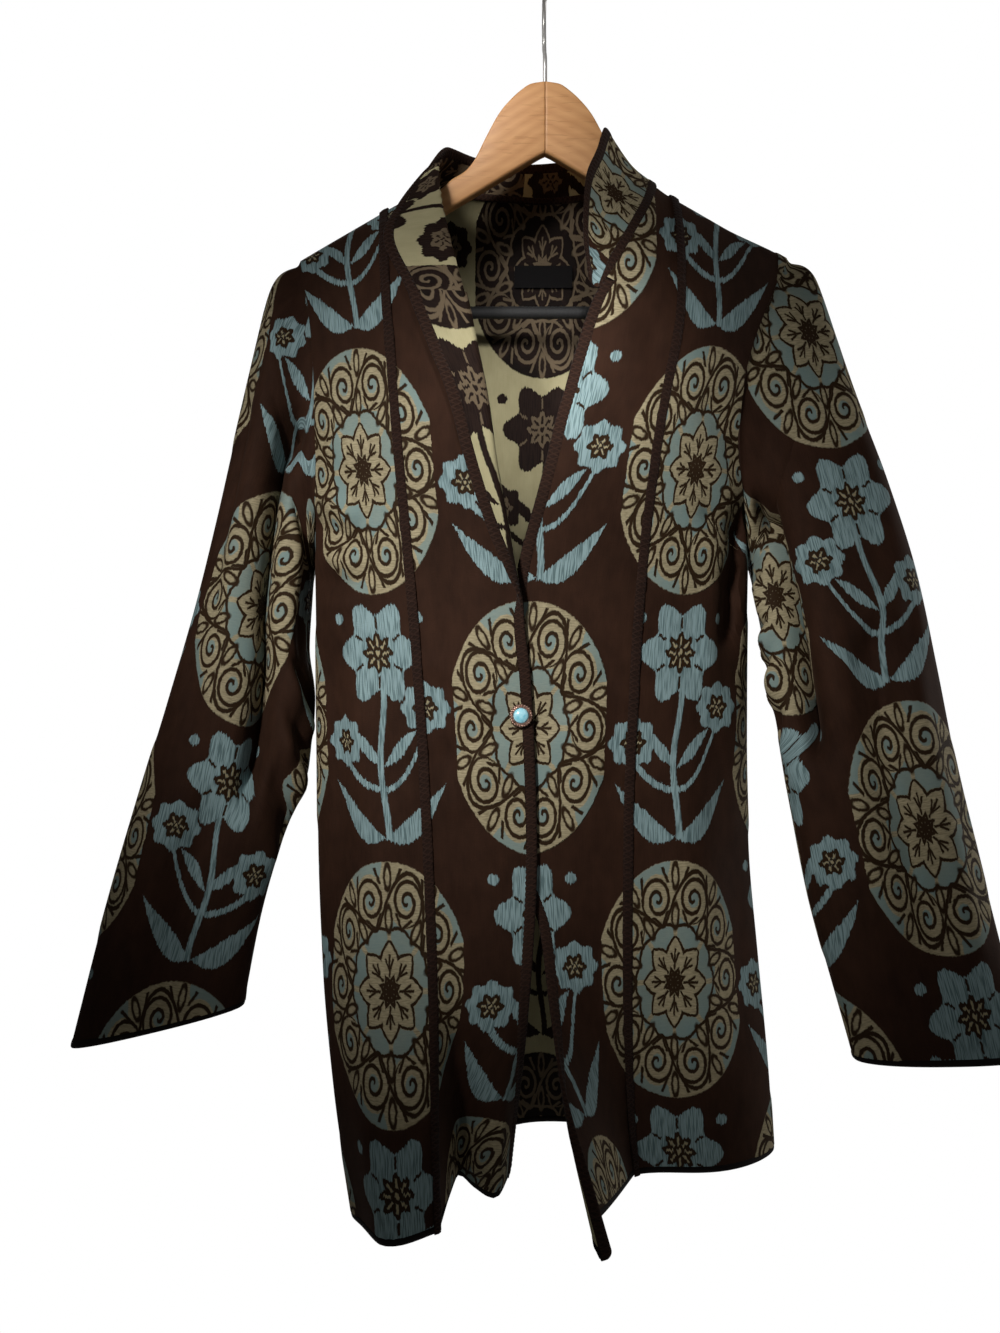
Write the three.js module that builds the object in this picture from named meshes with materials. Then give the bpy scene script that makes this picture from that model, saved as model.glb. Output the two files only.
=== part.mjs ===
// A longline open-front jacket of heavy tapestry cloth, hung on a wooden hanger with a trouser bar.
// Millimetres, +X to the viewer's right, +Y away from the viewer, +Z up. The origin is inside the top of
// the hanger's hook, where it is held. "Right" and "left" in the names are the wearer's, so the right front
// is at -X.
import * as THREE from "three";

// ---------------------------------------------------------------- driving sizes
const CLOTH = 1.8; // thickness of the tapestry cloth
const BINDING = 3; // thickness of the bound edges
const TAPE = 1.4; // thickness of the tapes over the seams
const SEAM_GAP = 0.3;
const BEND_GAP = 0.7; // where two pieces meet in a bend
const EDGE_BINDING_WIDTH = 9;
const HEM_BINDING_WIDTH = 5;
const TAPE_HALF_WIDTH = 4;
const HALF_CLOTH = CLOTH / 2;
const SIDE_GAP = 0.45; // half the space at the shoulder and side seams, where the cloth turns over the seam
const LOWEST = -1035; // the level of the lowest sections
const FOLDS_END = -1030; // the level where the folds of the skirt are deepest
const NECK_LEVEL = -200;

const HANGER = {
  apexUnder: -148, // underside of the wood at the middle
  apexRound: 2, // how softly the undersides of the arms meet there
  thickness: 13,
  armReach: 206,
  shoulderStart: 82, // where the straight top edge of an arm starts
  shoulderZ: -169,
  shoulderDip: 7, // by which the arm dips under the cloth, outside the collar
  slope: 0.577, // fall of the top edge for each millimetre outwards
  underSlope: 0.6,
  barZ: -284,
  barRadius: 5.4,
  barEnd: 177.5,
  corner: 3.5, // radius of the wood's edges
  lobe: 9, // by which an arm's end reaches below the bar
  lobeStart: 178,
  lobeFull: 186,
  wire: 3.8,
  hookRadius: 22,
};

// The upper outline of the hanger's middle.
const CROWN = [
  { x: 0, z: -85 },
  { x: 12, z: -87 },
  { x: 22, z: -93.5 },
  { x: 32, z: -103 },
  { x: 40, z: -113 },
  { x: 51.5, z: -134 },
  { x: 61.5, z: -153.5 },
  { x: 69, z: -162.5 },
  { x: 82, z: -170.5 },
];

// The cloth lies this far above the wood of the arms.
const SHOULDER_LIFT = 3.4;
const SHOULDER_BEND = 20; // rounds the shoulder line at the middle
const LEFT_SHOULDER = { drop: 5, start: 70, full: 108, easing: 150, end: 208 }; // it lies closer to the arm
const SADDLE = 10; // radius in which the cloth rounds over an arm
const FRONT_FALL = 55; // how quickly the front swells out below the shoulder
const BACK_FALL = 30;

// Heights of the rows of the body below the shoulder line, down to the underarm.
const UPPER_ROWS = [0, 1.8, 6, 16, 42, 80, 102, 104, 150, 200, 240, 262];
const SIDE_STEPS = 16; // points across a front side panel
const CENTRE_STEPS = 22; // points across a front centre panel
const ROLL_STEPS = 8; // points round its turned edge
const BAND_ROW = 7; // the bands of the front edges start at this row, under the end of the collar
const ARMHOLE_DEPTH = UPPER_ROWS[UPPER_ROWS.length - 1];
const LOWER_ROWS = 7;

// Level sections of the body: its two sides, and how far the front and back stand out from the line
// between them.
const SECTIONS = [
  { z: -180, leftX: -211, leftY: 0, rightX: 208, rightY: 0, front: 88, back: 62 },
  { z: -240, leftX: -211, leftY: 0, rightX: 208, rightY: 0, front: 90, back: 64 },
  { z: -350, leftX: -213, leftY: 0, rightX: 196, rightY: 0, front: 92, back: 66 },
  { z: -503, leftX: -199, leftY: 1, rightX: 175, rightY: 2, front: 90, back: 68 },
  { z: -640, leftX: -197, leftY: 0, rightX: 173, rightY: 2, front: 92, back: 70 },
  { z: -740, leftX: -195, leftY: -8, rightX: 176, rightY: 4, front: 86, back: 76 },
  { z: -840, leftX: -189, leftY: -25, rightX: 185, rightY: 6, front: 78, back: 88 },
  { z: -940, leftX: -177, leftY: -45, rightX: 195, rightY: 9, front: 70, back: 104 },
  { z: -1035, leftX: -160, leftY: -62, rightX: 202, rightY: 12, front: 62, back: 118 },
];
const ROUNDNESS = 2.6; // power of the section's curve across
const SHARPNESS = 0.45; // power of its depth near the sides

// The long seam from shoulder to hem on each front.
const PRINCESS_SEAMS = [
  { z: -195, right: -138, left: 109 },
  { z: -291, right: -131, left: 107 },
  { z: -410, right: -121, left: 87 },
  { z: -507, right: -112, left: 75 },
  { z: -600, right: -104, left: 68 },
  { z: -720, right: -97, left: 63 },
  { z: -850, right: -92, left: 64 },
  { z: -950, right: -90, left: 67 },
  { z: -1035, right: -87, left: 75 },
];

// The front edges. fold is where the cloth turns outwards, turn the width that then lies turned over, and
// angle how far it has turned.
const RIGHT_EDGE = [
  { z: -190, fold: -124, turn: 0, angle: 0 },
  { z: -217, fold: -112, turn: 0, angle: 0 },
  { z: -252, fold: -92, turn: 0, angle: 0 },
  { z: -293.5, fold: -70, turn: 0, angle: 0 },
  { z: -294.9, fold: -69.5, turn: 45, angle: 165 },
  { z: -333, fold: -62, turn: 36, angle: 170 },
  { z: -384, fold: -53, turn: 28, angle: 172 },
  { z: -430, fold: -46, turn: 21, angle: 172 },
  { z: -475, fold: -38, turn: 15, angle: 168 },
  { z: -520, fold: -30, turn: 7, angle: 140 },
  { z: -560, fold: -23, turn: 0, angle: 40 },
  { z: -600, fold: -16, turn: 0, angle: 0 },
  { z: -740, fold: -11, turn: 0, angle: 0 },
  { z: -870, fold: -18, turn: 0, angle: 0 },
  { z: -1035, fold: -33, turn: 0, angle: 0 },
];
const LEFT_EDGE = [
  { z: -177, fold: 97, turn: 0, angle: 0 },
  { z: -205, fold: 88, turn: 0, angle: 0 },
  { z: -240, fold: 71, turn: 0, angle: 0 },
  { z: -272, fold: 53, turn: 0, angle: 0 },
  { z: -297, fold: 37, turn: 0, angle: 4 },
  { z: -347, fold: 21, turn: 0, angle: 14 },
  { z: -395, fold: 9, turn: 2, angle: 24 },
  { z: -451, fold: -7, turn: 0, angle: 12 },
  { z: -515, fold: -24, turn: 0, angle: 0 },
  { z: -630, fold: -38, turn: 0, angle: 0 },
  { z: -740, fold: -26, turn: 0, angle: 0 },
  { z: -800, fold: -6, turn: 0, angle: 10 },
  { z: -860, fold: 3, turn: 0, angle: 40 },
  { z: -940, fold: 14, turn: 4, angle: 90 },
  { z: -1035, fold: 40, turn: 9, angle: 120 },
];
const FOLD_RADIUS = 4.5;
const LEAST_ANGLE = 6; // the edges always turn a little
// The right front lies over the left one.
const OVERLAP = { lift: 5.6, startX: -80, fullX: -48, startZ: -430, fullZ: -500 };

// Folds of the skirt: depth is at the hem, and each one runs out at its top.
const PLEAT = { depth: 68, top: -830, hemLift: 12 }; // right centre front, drawn back beside its seam
const FLARE = { depth: 118, top: -812, hemDrop: -2 }; // left centre front, swung forwards at its edge
const LEFT_TUCK = { depth: 40, top: -720, at: 0, width: 60 }; // left front, drawn back at its long seam
const RIGHT_SWELL = { depth: 32, top: -760, at: -38, width: 36 }; // right front, pushed out beside its seam
const SEAM_SPREAD = { top: -760, full: -960, cloth: 1, hem: 1.6 }; // the long seams open in the skirt
const TAPE_BRIDGE = { top: -780, full: -860, share: 0.8, lift: 1.6 }; // the left tape over its seam's hollow
const BACK_FOLDS = [
  { at: -0.62, width: 0.16, depth: -13, top: -640 },
  { at: -0.2, width: 0.2, depth: 12, top: -560 },
  { at: 0.22, width: 0.17, depth: -15, top: -600 },
  { at: 0.6, width: 0.15, depth: 11, top: -680 },
];
const HEM = { leftX: -157, atLeft: -1034, rightX: 202, atRight: -1008 };

// Armholes: how far the front and back panels are scooped in from the side, as a share of the half width.
const SCOOP = { right: 0.1, left: 0.17 };

// Sections of the sleeves from below the shoulder to the cuff, each from its outer to its inner side.
const RIGHT_SLEEVE = [
  { outerX: -240, outerZ: -285, innerX: -202.5, innerZ: -510, y: 0, depth: 45 },
  { outerX: -262, outerZ: -380, innerX: -204, innerZ: -535, y: -2, depth: 43 },
  { outerX: -281, outerZ: -465, innerX: -206, innerZ: -575, y: -4, depth: 41 },
  { outerX: -299, outerZ: -540, innerX: -200.5, innerZ: -620, y: -8, depth: 38 },
  { outerX: -322, outerZ: -622, innerX: -204, innerZ: -675, y: -12, depth: 36 },
  { outerX: -346, outerZ: -706, innerX: -226, innerZ: -740, y: -19, depth: 33 },
  { outerX: -369, outerZ: -792, innerX: -242, innerZ: -800, y: -27, depth: 30 },
  { outerX: -396, outerZ: -908, innerX: -254.6, innerZ: -874, y: -38, depth: 24 },
];
const LEFT_SLEEVE = [
  { outerX: 234, outerZ: -272, innerX: 178.5, innerZ: -510, y: -6, depth: 45 },
  { outerX: 258, outerZ: -355, innerX: 180, innerZ: -533, y: -18, depth: 43 },
  { outerX: 284, outerZ: -437, innerX: 183, innerZ: -565, y: -32, depth: 41 },
  { outerX: 304, outerZ: -515, innerX: 186, innerZ: -604, y: -45, depth: 38 },
  { outerX: 316, outerZ: -592, innerX: 192, innerZ: -656, y: -58, depth: 36 },
  { outerX: 328, outerZ: -670, innerX: 200, innerZ: -710, y: -68, depth: 34 },
  { outerX: 344, outerZ: -748, innerX: 210, innerZ: -772, y: -77, depth: 31 },
  { outerX: 376, outerZ: -898, innerX: 241, innerZ: -900, y: -96, depth: 24 },
];
const SLEEVE_STEPS = 9;

// The collar, section by section from the right front round the neck to the left front. Each section rises
// from the neck seam to its crest and goes on to its free edge, which is turned down outside on the right.
const COLLAR = [
  { seam: [-70, -292], crest: [-65, -90, -292], edge: [-113, -98, -293] },
  { seam: [-92, -252], crest: [-73, -76, -236], edge: [-132, -88, -249] },
  { seam: [-112, -217], crest: [-79, -48, -192], edge: [-123, -66, -217] },
  { seam: [-126, -194], crest: [-84, -14, -156], edge: [-103, -32, -175] },
  { seam: [-108, -182], crest: [-83, 14, -150], edge: [-83, 6, -138] },
  { seam: [-62, -172], crest: [-56, 42, -150], edge: [-56, 40, -134] },
  { seam: [-14, -169], crest: [-12, 54, -150], edge: [-12, 53, -133.5] },
  { seam: [36, -169], crest: [32, 46, -150], edge: [31, 44, -133] },
  { seam: [80, -168], crest: [68, 14, -159], edge: [58, 14, -135] },
  { seam: [97, -176], crest: [73, -10, -163], edge: [51, -16, -131] },
  { seam: [88, -205], crest: [62, -38, -186], edge: [42, -37, -158] },
  { seam: [71, -240], crest: [44, -62, -214], edge: [31, -58, -192] },
  { seam: [54, -272], crest: [37, -77, -256], edge: [28, -74, -239] },
  { seam: [39, -290], crest: [35, -86, -288], edge: [32, -86, -280] },
];
const COLLAR_STEPS = 22;

const BUTTON = { x: -22.5, z: -629.5, rimRadius: 9.2, stoneRadius: 6, height: 3.2, off: 2.6 }; // off: shank
const LABEL = { x: 1, z: -233, width: 53, height: 20, thickness: 0.8, off: 2 };

const COLOURS = {
  cloth: 0x2f1c17,
  binding: 0x24140f,
  wood: 0xd0a070,
  black: 0x171717,
  wire: 0x9a9a98,
  copper: 0x9a7868,
  stone: 0x8ed0dc,
};

// The pleat's depth across the right centre front, from its seam to its edge.
const PLEAT_SHAPE = [
  { at: 0, depth: 0 },
  { at: 0.12, depth: 0.6 },
  { at: 0.24, depth: 1 },
  { at: 0.5, depth: 0.7 },
  { at: 0.8, depth: 0.45 },
  { at: 1, depth: 0.95 },
];

// ---------------------------------------------------------------- small tools
const clamp = (v, lo, hi) => Math.min(hi, Math.max(lo, v));
const mix = (a, b, f) => a + (b - a) * f;
const smooth = (lo, hi, v) => {
  const f = clamp((v - lo) / (hi - lo), 0, 1);
  return f * f * (3 - 2 * f);
};

// A bump of height 1 and the given half width.
const bell = (from, width) => Math.exp(-((from / width) ** 2));

// A column of a table read at a value of its key column, along a smooth curve that never overshoots its rows.
function read(table, key, value, column) {
  const sign = table[0][key] < table[table.length - 1][key] ? 1 : -1;
  const at = (i) => table[i][key] * sign;
  const v = clamp(value * sign, at(0), at(table.length - 1));
  let i = 0;
  while (i < table.length - 2 && v > at(i + 1)) i++;
  const span = at(i + 1) - at(i);
  const rise = (k) => (table[k + 1][column] - table[k][column]) / (at(k + 1) - at(k));
  const slope = (k) => {
    if (k === 0 || k === table.length - 1) return 0;
    const before = rise(k - 1);
    const after = rise(k);
    return before * after <= 0 ? 0 : (2 * before * after) / (before + after);
  };
  const f = (v - at(i)) / span;
  const h = f * f * (3 - 2 * f);
  const start = i === 0 ? rise(0) : slope(i);
  const end = i === table.length - 2 ? rise(i) : slope(i + 1);
  const bend = f * (1 - f) * ((1 - f) * start - f * end) * span;
  return table[i][column] * (1 - h) + table[i + 1][column] * h + bend;
}

const point = (x, y, z) => new THREE.Vector3(x, y, z);

// A row of points measured along its length.
function measured(points) {
  const lengths = [0];
  for (let i = 1; i < points.length; i++) lengths.push(lengths[i - 1] + points[i].distanceTo(points[i - 1]));
  return { points, lengths, total: lengths[lengths.length - 1] };
}
function along(row, s) {
  const { points, lengths } = row;
  let i = 1;
  while (i < points.length - 1 && lengths[i] < s) i++;
  const f = (s - lengths[i - 1]) / (lengths[i] - lengths[i - 1]);
  return points[i - 1].clone().lerp(points[i], f);
}

// Unit normals of a grid of points, by its neighbours.
function normals(grid, round) {
  const rows = grid.length;
  const cols = grid[0].length;
  return grid.map((row, r) =>
    row.map((p, c) => {
      const up = grid[Math.max(r - 1, 0)][c];
      const down = grid[Math.min(r + 1, rows - 1)][c];
      const before = round ? row[(c - 1 + cols) % cols] : row[Math.max(c - 1, 0)];
      const after = round ? row[(c + 1) % cols] : row[Math.min(c + 1, cols - 1)];
      return down.clone().sub(up).cross(after.clone().sub(before)).normalize();
    }),
  );
}

// A closed body from a list of points and triangles, turned so that its faces look out.
function body(points, triangles) {
  let volume = 0;
  for (const [a, b, c] of triangles) volume += points[a].dot(points[b].clone().cross(points[c]));
  const flat = triangles.flatMap(([a, b, c]) => (volume < 0 ? [a, c, b] : [a, b, c]));
  const geometry = new THREE.BufferGeometry();
  const numbers = points.flatMap((p) => [p.x, p.y, p.z]);
  geometry.setAttribute("position", new THREE.Float32BufferAttribute(numbers, 3));
  geometry.setIndex(flat);
  const faceted = geometry.toNonIndexed();
  faceted.computeVertexNormals();
  return faceted;
}

// A sheet of cloth: a grid of points on its middle, thickened to both sides. round closes each row on itself.
function cloth(grid, thickness, { round = false, lift = 0 } = {}) {
  const rows = grid.length;
  const cols = grid[0].length;
  const normal = normals(grid, round);
  const raised = typeof lift === "number" ? () => lift : lift;
  const points = [];
  for (const side of [0.5, -0.5])
    for (let r = 0; r < rows; r++)
      for (let c = 0; c < cols; c++) {
        const off = raised(r) + side * thickness;
        points.push(grid[r][c].clone().addScaledVector(normal[r][c], off));
      }
  const id = (layer, r, c) => layer * rows * cols + r * cols + (c % cols);
  const triangles = [];
  const quad = (a, b, c, d) => triangles.push([a, b, c], [a, c, d]);
  const spans = round ? cols : cols - 1;
  for (let r = 0; r < rows - 1; r++)
    for (let c = 0; c < spans; c++) {
      quad(id(0, r, c), id(0, r + 1, c), id(0, r + 1, c + 1), id(0, r, c + 1));
      quad(id(1, r, c), id(1, r, c + 1), id(1, r + 1, c + 1), id(1, r + 1, c));
    }
  for (let c = 0; c < spans; c++) {
    quad(id(0, 0, c), id(0, 0, c + 1), id(1, 0, c + 1), id(1, 0, c));
    quad(id(0, rows - 1, c), id(1, rows - 1, c), id(1, rows - 1, c + 1), id(0, rows - 1, c + 1));
  }
  if (!round)
    for (let r = 0; r < rows - 1; r++) {
      quad(id(0, r, 0), id(1, r, 0), id(1, r + 1, 0), id(0, r + 1, 0));
      quad(id(0, r, cols - 1), id(0, r + 1, cols - 1), id(1, r + 1, cols - 1), id(1, r, cols - 1));
    }
  return body(points, triangles);
}

// A solid through a list of rings, closed by a fan at each end.
function loft(rings) {
  const count = rings[0].length;
  const points = rings.flat();
  const triangles = [];
  for (let r = 0; r < rings.length - 1; r++)
    for (let i = 0; i < count; i++) {
      const j = (i + 1) % count;
      const a = r * count + i;
      const b = r * count + j;
      triangles.push([a, b, b + count], [a, b + count, a + count]);
    }
  for (const [ring, flip] of [
    [0, true],
    [rings.length - 1, false],
  ]) {
    const centre = points.length;
    const mean = point(0, 0, 0);
    for (const p of rings[ring]) mean.addScaledVector(p, 1 / count);
    points.push(mean);
    for (let i = 0; i < count; i++) {
      const a = ring * count + i;
      const b = ring * count + ((i + 1) % count);
      triangles.push(flip ? [centre, b, a] : [centre, a, b]);
    }
  }
  return body(points, triangles);
}

// ---------------------------------------------------------------- the body's surface
const shoulderZ = (x) =>
  HANGER.shoulderZ +
  SHOULDER_LIFT -
  (Math.hypot(x, SHOULDER_BEND) - HANGER.shoulderStart) * HANGER.slope -
  LEFT_SHOULDER.drop *
    smooth(LEFT_SHOULDER.start, LEFT_SHOULDER.full, x) *
    (1 - smooth(LEFT_SHOULDER.easing, LEFT_SHOULDER.end, x));

function section(z) {
  const get = (column) => read(SECTIONS, "z", z, column);
  const leftX = get("leftX");
  const rightX = get("rightX");
  return {
    mid: (leftX + rightX) / 2,
    half: (rightX - leftX) / 2,
    leftY: get("leftY"),
    rightY: get("rightY"),
    front: get("front"),
    back: get("back"),
  };
}

// How far out the cloth stands, in the ring of height z and at the depth w below the shoulder line.
function ringY(x, z, front) {
  const s = section(z);
  const t = clamp((x - s.mid) / s.half, -1, 1);
  const w = Math.max(0, shoulderZ(x) - z);
  const fall = 1 - Math.exp(-w / (front ? FRONT_FALL : BACK_FALL));
  const swell = (1 - Math.abs(t) ** ROUNDNESS) ** SHARPNESS * fall;
  const rounded = Math.sqrt(1 - (1 - Math.min(w / SADDLE, 1)) ** 2);
  const saddle = SADDLE * rounded * Math.max(0, 1 - w / ARMHOLE_DEPTH) ** 2;
  const base = mix(s.leftY, s.rightY, (t + 1) / 2);
  if (front) return base - swell * s.front - saddle;
  let y = base + swell * s.back + saddle;
  for (const f of BACK_FOLDS) y += f.depth * smooth(f.top, FOLDS_END, z) * bell(t - f.at, f.width);
  return y;
}

// The outer end of a ring: at the armhole above the underarm, at the side seam under it.
function outerX(z, w, side) {
  const s = section(z);
  const scoop = (side < 0 ? SCOOP.right : SCOOP.left) * Math.sin(Math.PI * clamp(w / ARMHOLE_DEPTH, 0, 1));
  return s.mid + side * s.half * (1 - scoop);
}

const hemZ = (x) => mix(HEM.atLeft, HEM.atRight, clamp((x - HEM.leftX) / (HEM.rightX - HEM.leftX), 0, 1));

// The rows of every panel: those above the underarm by their depth, those below it by their share of the
// way to the hem.
const ROWS = [
  ...UPPER_ROWS.map((w) => ({ w })),
  ...Array.from({ length: LOWER_ROWS - 1 }, (_, i) => ({ share: (i + 1) / LOWER_ROWS })),
  { hem: HEM_BINDING_WIDTH + SEAM_GAP },
  { hem: HEM_BINDING_WIDTH },
  { hem: 0 },
];
const PANEL_ROWS = ROWS.length - 2;

function heightAt(row, top, hem) {
  if (row.w !== undefined) return top - row.w;
  if (row.share !== undefined) return mix(top - ARMHOLE_DEPTH, hem + HEM_BINDING_WIDTH, row.share);
  return hem + row.hem;
}

const princessX = (z, side) => read(PRINCESS_SEAMS, "z", z, side < 0 ? "right" : "left");

// x where a line across the front starts at the shoulder
function onShoulder(lineX) {
  let z = NECK_LEVEL;
  for (let i = 0; i < 8; i++) z = shoulderZ(lineX(z));
  return lineX(z);
}

// The fold that both panels of a front share at their long seam.
function skirtFold(x, z, side) {
  const away = x - princessX(z, side);
  const fold = side < 0 ? RIGHT_SWELL : LEFT_TUCK;
  return side * fold.depth * smooth(fold.top, FOLDS_END, z) * bell(away - fold.at, fold.width);
}

// A front side panel: each row from the long seam to the armhole or side seam.
function frontSideRow(row, side) {
  const seamTop = onShoulder((z) => princessX(z, side));
  const sideTop = onShoulder((z) => outerX(z, 0, side));
  const low = section(LOWEST);
  const points = [];
  for (let i = 0; i <= SIDE_STEPS; i++) {
    const f = Math.sin(((i / SIDE_STEPS) * Math.PI) / 2);
    const top = shoulderZ(mix(seamTop, sideTop, f));
    const hem = hemZ(mix(princessX(LOWEST, side), low.mid + side * low.half, f));
    const z = heightAt(row, top, hem);
    const w = row.w ?? ARMHOLE_DEPTH;
    const x = mix(princessX(z, side), outerX(z, w, side), f);
    let y = ringY(x, z, true) + skirtFold(x, z, side);
    if (i === SIDE_STEPS || row.w === 0) y -= SIDE_GAP;
    points.push(point(x, y, z));
  }
  return measured(points);
}

// A front centre panel: each row from the long seam to the front edge, with the part that is turned outwards.
function frontCentreRow(row, side) {
  const table = side < 0 ? RIGHT_EDGE : LEFT_EDGE;
  const foldX = (z) => read(table, "z", z, "fold");
  const seamTop = onShoulder((z) => princessX(z, side));
  const foldTop = onShoulder(foldX);
  const points = [];
  for (let i = 0; i <= CENTRE_STEPS; i++) {
    const f = i / CENTRE_STEPS;
    const top = shoulderZ(mix(seamTop, foldTop, f));
    let hem = hemZ(mix(princessX(LOWEST, side), foldX(LOWEST), f));
    const shape = read(PLEAT_SHAPE, "at", f, "depth");
    if (side < 0) hem += PLEAT.hemLift * shape;
    else hem -= FLARE.hemDrop * f;
    const z = heightAt(row, top, hem);
    const x = mix(princessX(z, side), foldX(z), f);
    let y = ringY(x, z, true) + skirtFold(x, z, side);
    if (side < 0) {
      y += PLEAT.depth * shape * smooth(PLEAT.top, FOLDS_END, z);
      y -= OVERLAP.lift * smooth(OVERLAP.startX, OVERLAP.fullX, x) * smooth(OVERLAP.startZ, OVERLAP.fullZ, z);
    } else {
      y -= FLARE.depth * f ** 1.1 * smooth(FLARE.top, FOLDS_END, z);
    }
    if (row.w === 0) y -= SIDE_GAP;
    points.push(point(x, y, z));
  }
  // the turned edge
  const last = points[points.length - 1];
  const flat = measured([...points]).total;
  const z = last.z;
  const angle = (Math.max(read(table, "z", z, "angle"), LEAST_ANGLE) * Math.PI) / 180;
  const turn = Math.max(read(table, "z", z, "turn"), 1);
  const heading = last.clone().sub(points[points.length - 3]).setZ(0).normalize();
  const out = side < 0 ? point(heading.y, -heading.x, 0) : point(-heading.y, heading.x, 0);
  const from = (start, ahead, aside) =>
    start.clone().addScaledVector(heading, ahead).addScaledVector(out, aside);
  for (let i = 1; i <= ROLL_STEPS; i++) {
    const a = (angle * i) / ROLL_STEPS;
    points.push(from(last, FOLD_RADIUS * Math.sin(a), FOLD_RADIUS * (1 - Math.cos(a))));
  }
  const end = points[points.length - 1];
  for (const f of [0.25, 0.5, 0.75, 1]) {
    points.push(from(end, Math.cos(angle) * turn * f, Math.sin(angle) * turn * f));
  }
  return { ...measured(points), flat, rolled: flat + FOLD_RADIUS * angle };
}

// The back: a row across the whole width. Its columns start at these places of the shoulders and the neck.
const BACK_COLUMNS = [
  ...[-1, -0.985, -0.93, -0.84, -0.71, -0.56, -0.47, -0.36, -0.2, 0],
  ...[0.2, 0.33, 0.42, 0.5, 0.64, 0.8, 0.92, 0.98, 1],
];
const neckSeam = (x) => {
  const stations = COLLAR.slice(3, 10).map(({ seam }) => ({ x: seam[0], z: seam[1] }));
  return read(stations, "x", x, "z");
};
function backRow(row) {
  return BACK_COLUMNS.map((t) => {
    const s = section(NECK_LEVEL);
    const xTop = s.mid + t * s.half;
    const neck = xTop > COLLAR[3].seam[0] && xTop < COLLAR[9].seam[0];
    const top = neck ? neckSeam(xTop) : shoulderZ(xTop);
    const low = section(LOWEST);
    const z = heightAt(row, top, hemZ(low.mid + t * low.half));
    const w = row.w ?? ARMHOLE_DEPTH;
    const side = t < 0 ? -1 : 1;
    const here = section(z);
    const x = here.mid + (outerX(z, w, side) - here.mid) * Math.abs(t);
    let y = ringY(x, z, false);
    if (Math.abs(t) === 1 || row.w === 0) y += SIDE_GAP;
    return point(x, y, z);
  });
}

// ---------------------------------------------------------------- pieces of the body
const nodes = [];
function add(name, geometry, colour, roughness = 0.9, metalness = 0) {
  nodes.push({ name, geometry, colour, roughness, metalness });
}

function frontPieces(side, name) {
  const sideRows = ROWS.map((row) => frontSideRow(row, side));
  const centreRows = ROWS.map((row) => frontCentreRow(row, side));
  const columns = 6;
  const seamGap = (r) => {
    const spread = smooth(SEAM_SPREAD.top, SEAM_SPREAD.full, sideRows[r].points[0].z);
    return SEAM_GAP / 2 + spread * (r < PANEL_ROWS ? SEAM_SPREAD.cloth : SEAM_SPREAD.hem);
  };
  const quarter = Math.PI / 2;
  const shares = Array.from({ length: columns + 1 }, (_, i) => Math.sin((i / columns) * quarter) ** 0.9);
  const sideGrid = sideRows.map((row, r) => shares.map((f) => along(row, mix(seamGap(r), row.total, f))));
  add(`${name}_side`, cloth(sideGrid.slice(0, PANEL_ROWS), CLOTH), COLOURS.cloth);
  add(`${name}_side_hem`, cloth(sideGrid.slice(PANEL_ROWS), BINDING), COLOURS.binding);

  // columns of the centre panel: across its flat part, round its fold, and over its turned part
  const centreGrid = centreRows.map((row, r) => {
    const joint = row.total - (r >= BAND_ROW ? EDGE_BINDING_WIDTH : 0);
    const end = joint - BEND_GAP - (joint > row.flat - 1 && joint < row.rolled + 16 ? 1.5 : 0);
    const flat = Math.min(row.flat, end - 2);
    const rolled = Math.min(row.rolled, end - 1);
    const stops = [];
    for (let i = 0; i < 8; i++) stops.push(mix(seamGap(r), flat, i / 8));
    for (let i = 0; i < 4; i++) stops.push(mix(flat, rolled, i / 4));
    stops.push(rolled, end);
    return stops.map((s) => along(row, s));
  });
  add(`${name}_centre`, cloth(centreGrid.slice(0, PANEL_ROWS), CLOTH), COLOURS.cloth);
  add(`${name}_centre_hem`, cloth(centreGrid.slice(PANEL_ROWS), BINDING), COLOURS.binding);
  const acrossBand = (row) => [1, 0.5, 0].map((f) => along(row, row.total - EDGE_BINDING_WIDTH * f));
  const bandGrid = centreRows.slice(BAND_ROW).map(acrossBand);
  add(`${name}_edge_band`, cloth(bandGrid, BINDING), COLOURS.binding);

  // the tape over the long seam, from the points of the panels moved out
  const tapeGrid = ROWS.slice(1).map((_, i) => {
    const r = i + 1;
    const a = sideRows[r];
    const b = centreRows[r];
    const ends = [along(a, TAPE_HALF_WIDTH), along(b, TAPE_HALF_WIDTH)];
    const low = smooth(TAPE_BRIDGE.top, TAPE_BRIDGE.full, a.points[0].z);
    const bridge = side > 0 ? low * TAPE_BRIDGE.share : 0;
    return [ends[0], along(a, 0).lerp(ends[0].clone().lerp(ends[1], 0.5), bridge), ends[1]];
  });
  const grid = side < 0 ? tapeGrid : tapeGrid.map((row) => row.reverse());
  const raised = (z) => (side > 0 ? TAPE_BRIDGE.lift * smooth(TAPE_BRIDGE.top, TAPE_BRIDGE.full, z) : 0);
  const lift = (r) => BINDING / 2 + SEAM_GAP + TAPE / 2 + raised(grid[r][0].z);
  add(`${name}_seam_tape`, cloth(grid, TAPE, { lift }), COLOURS.binding);
  return sideGrid;
}
const rightSide = frontPieces(-1, "front_right");
const leftSide = frontPieces(1, "front_left");
const backGrid = ROWS.map(backRow);
add("back", cloth(backGrid.slice(0, PANEL_ROWS), CLOTH), COLOURS.cloth);
add("back_hem", cloth(backGrid.slice(PANEL_ROWS), BINDING), COLOURS.binding);

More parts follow.
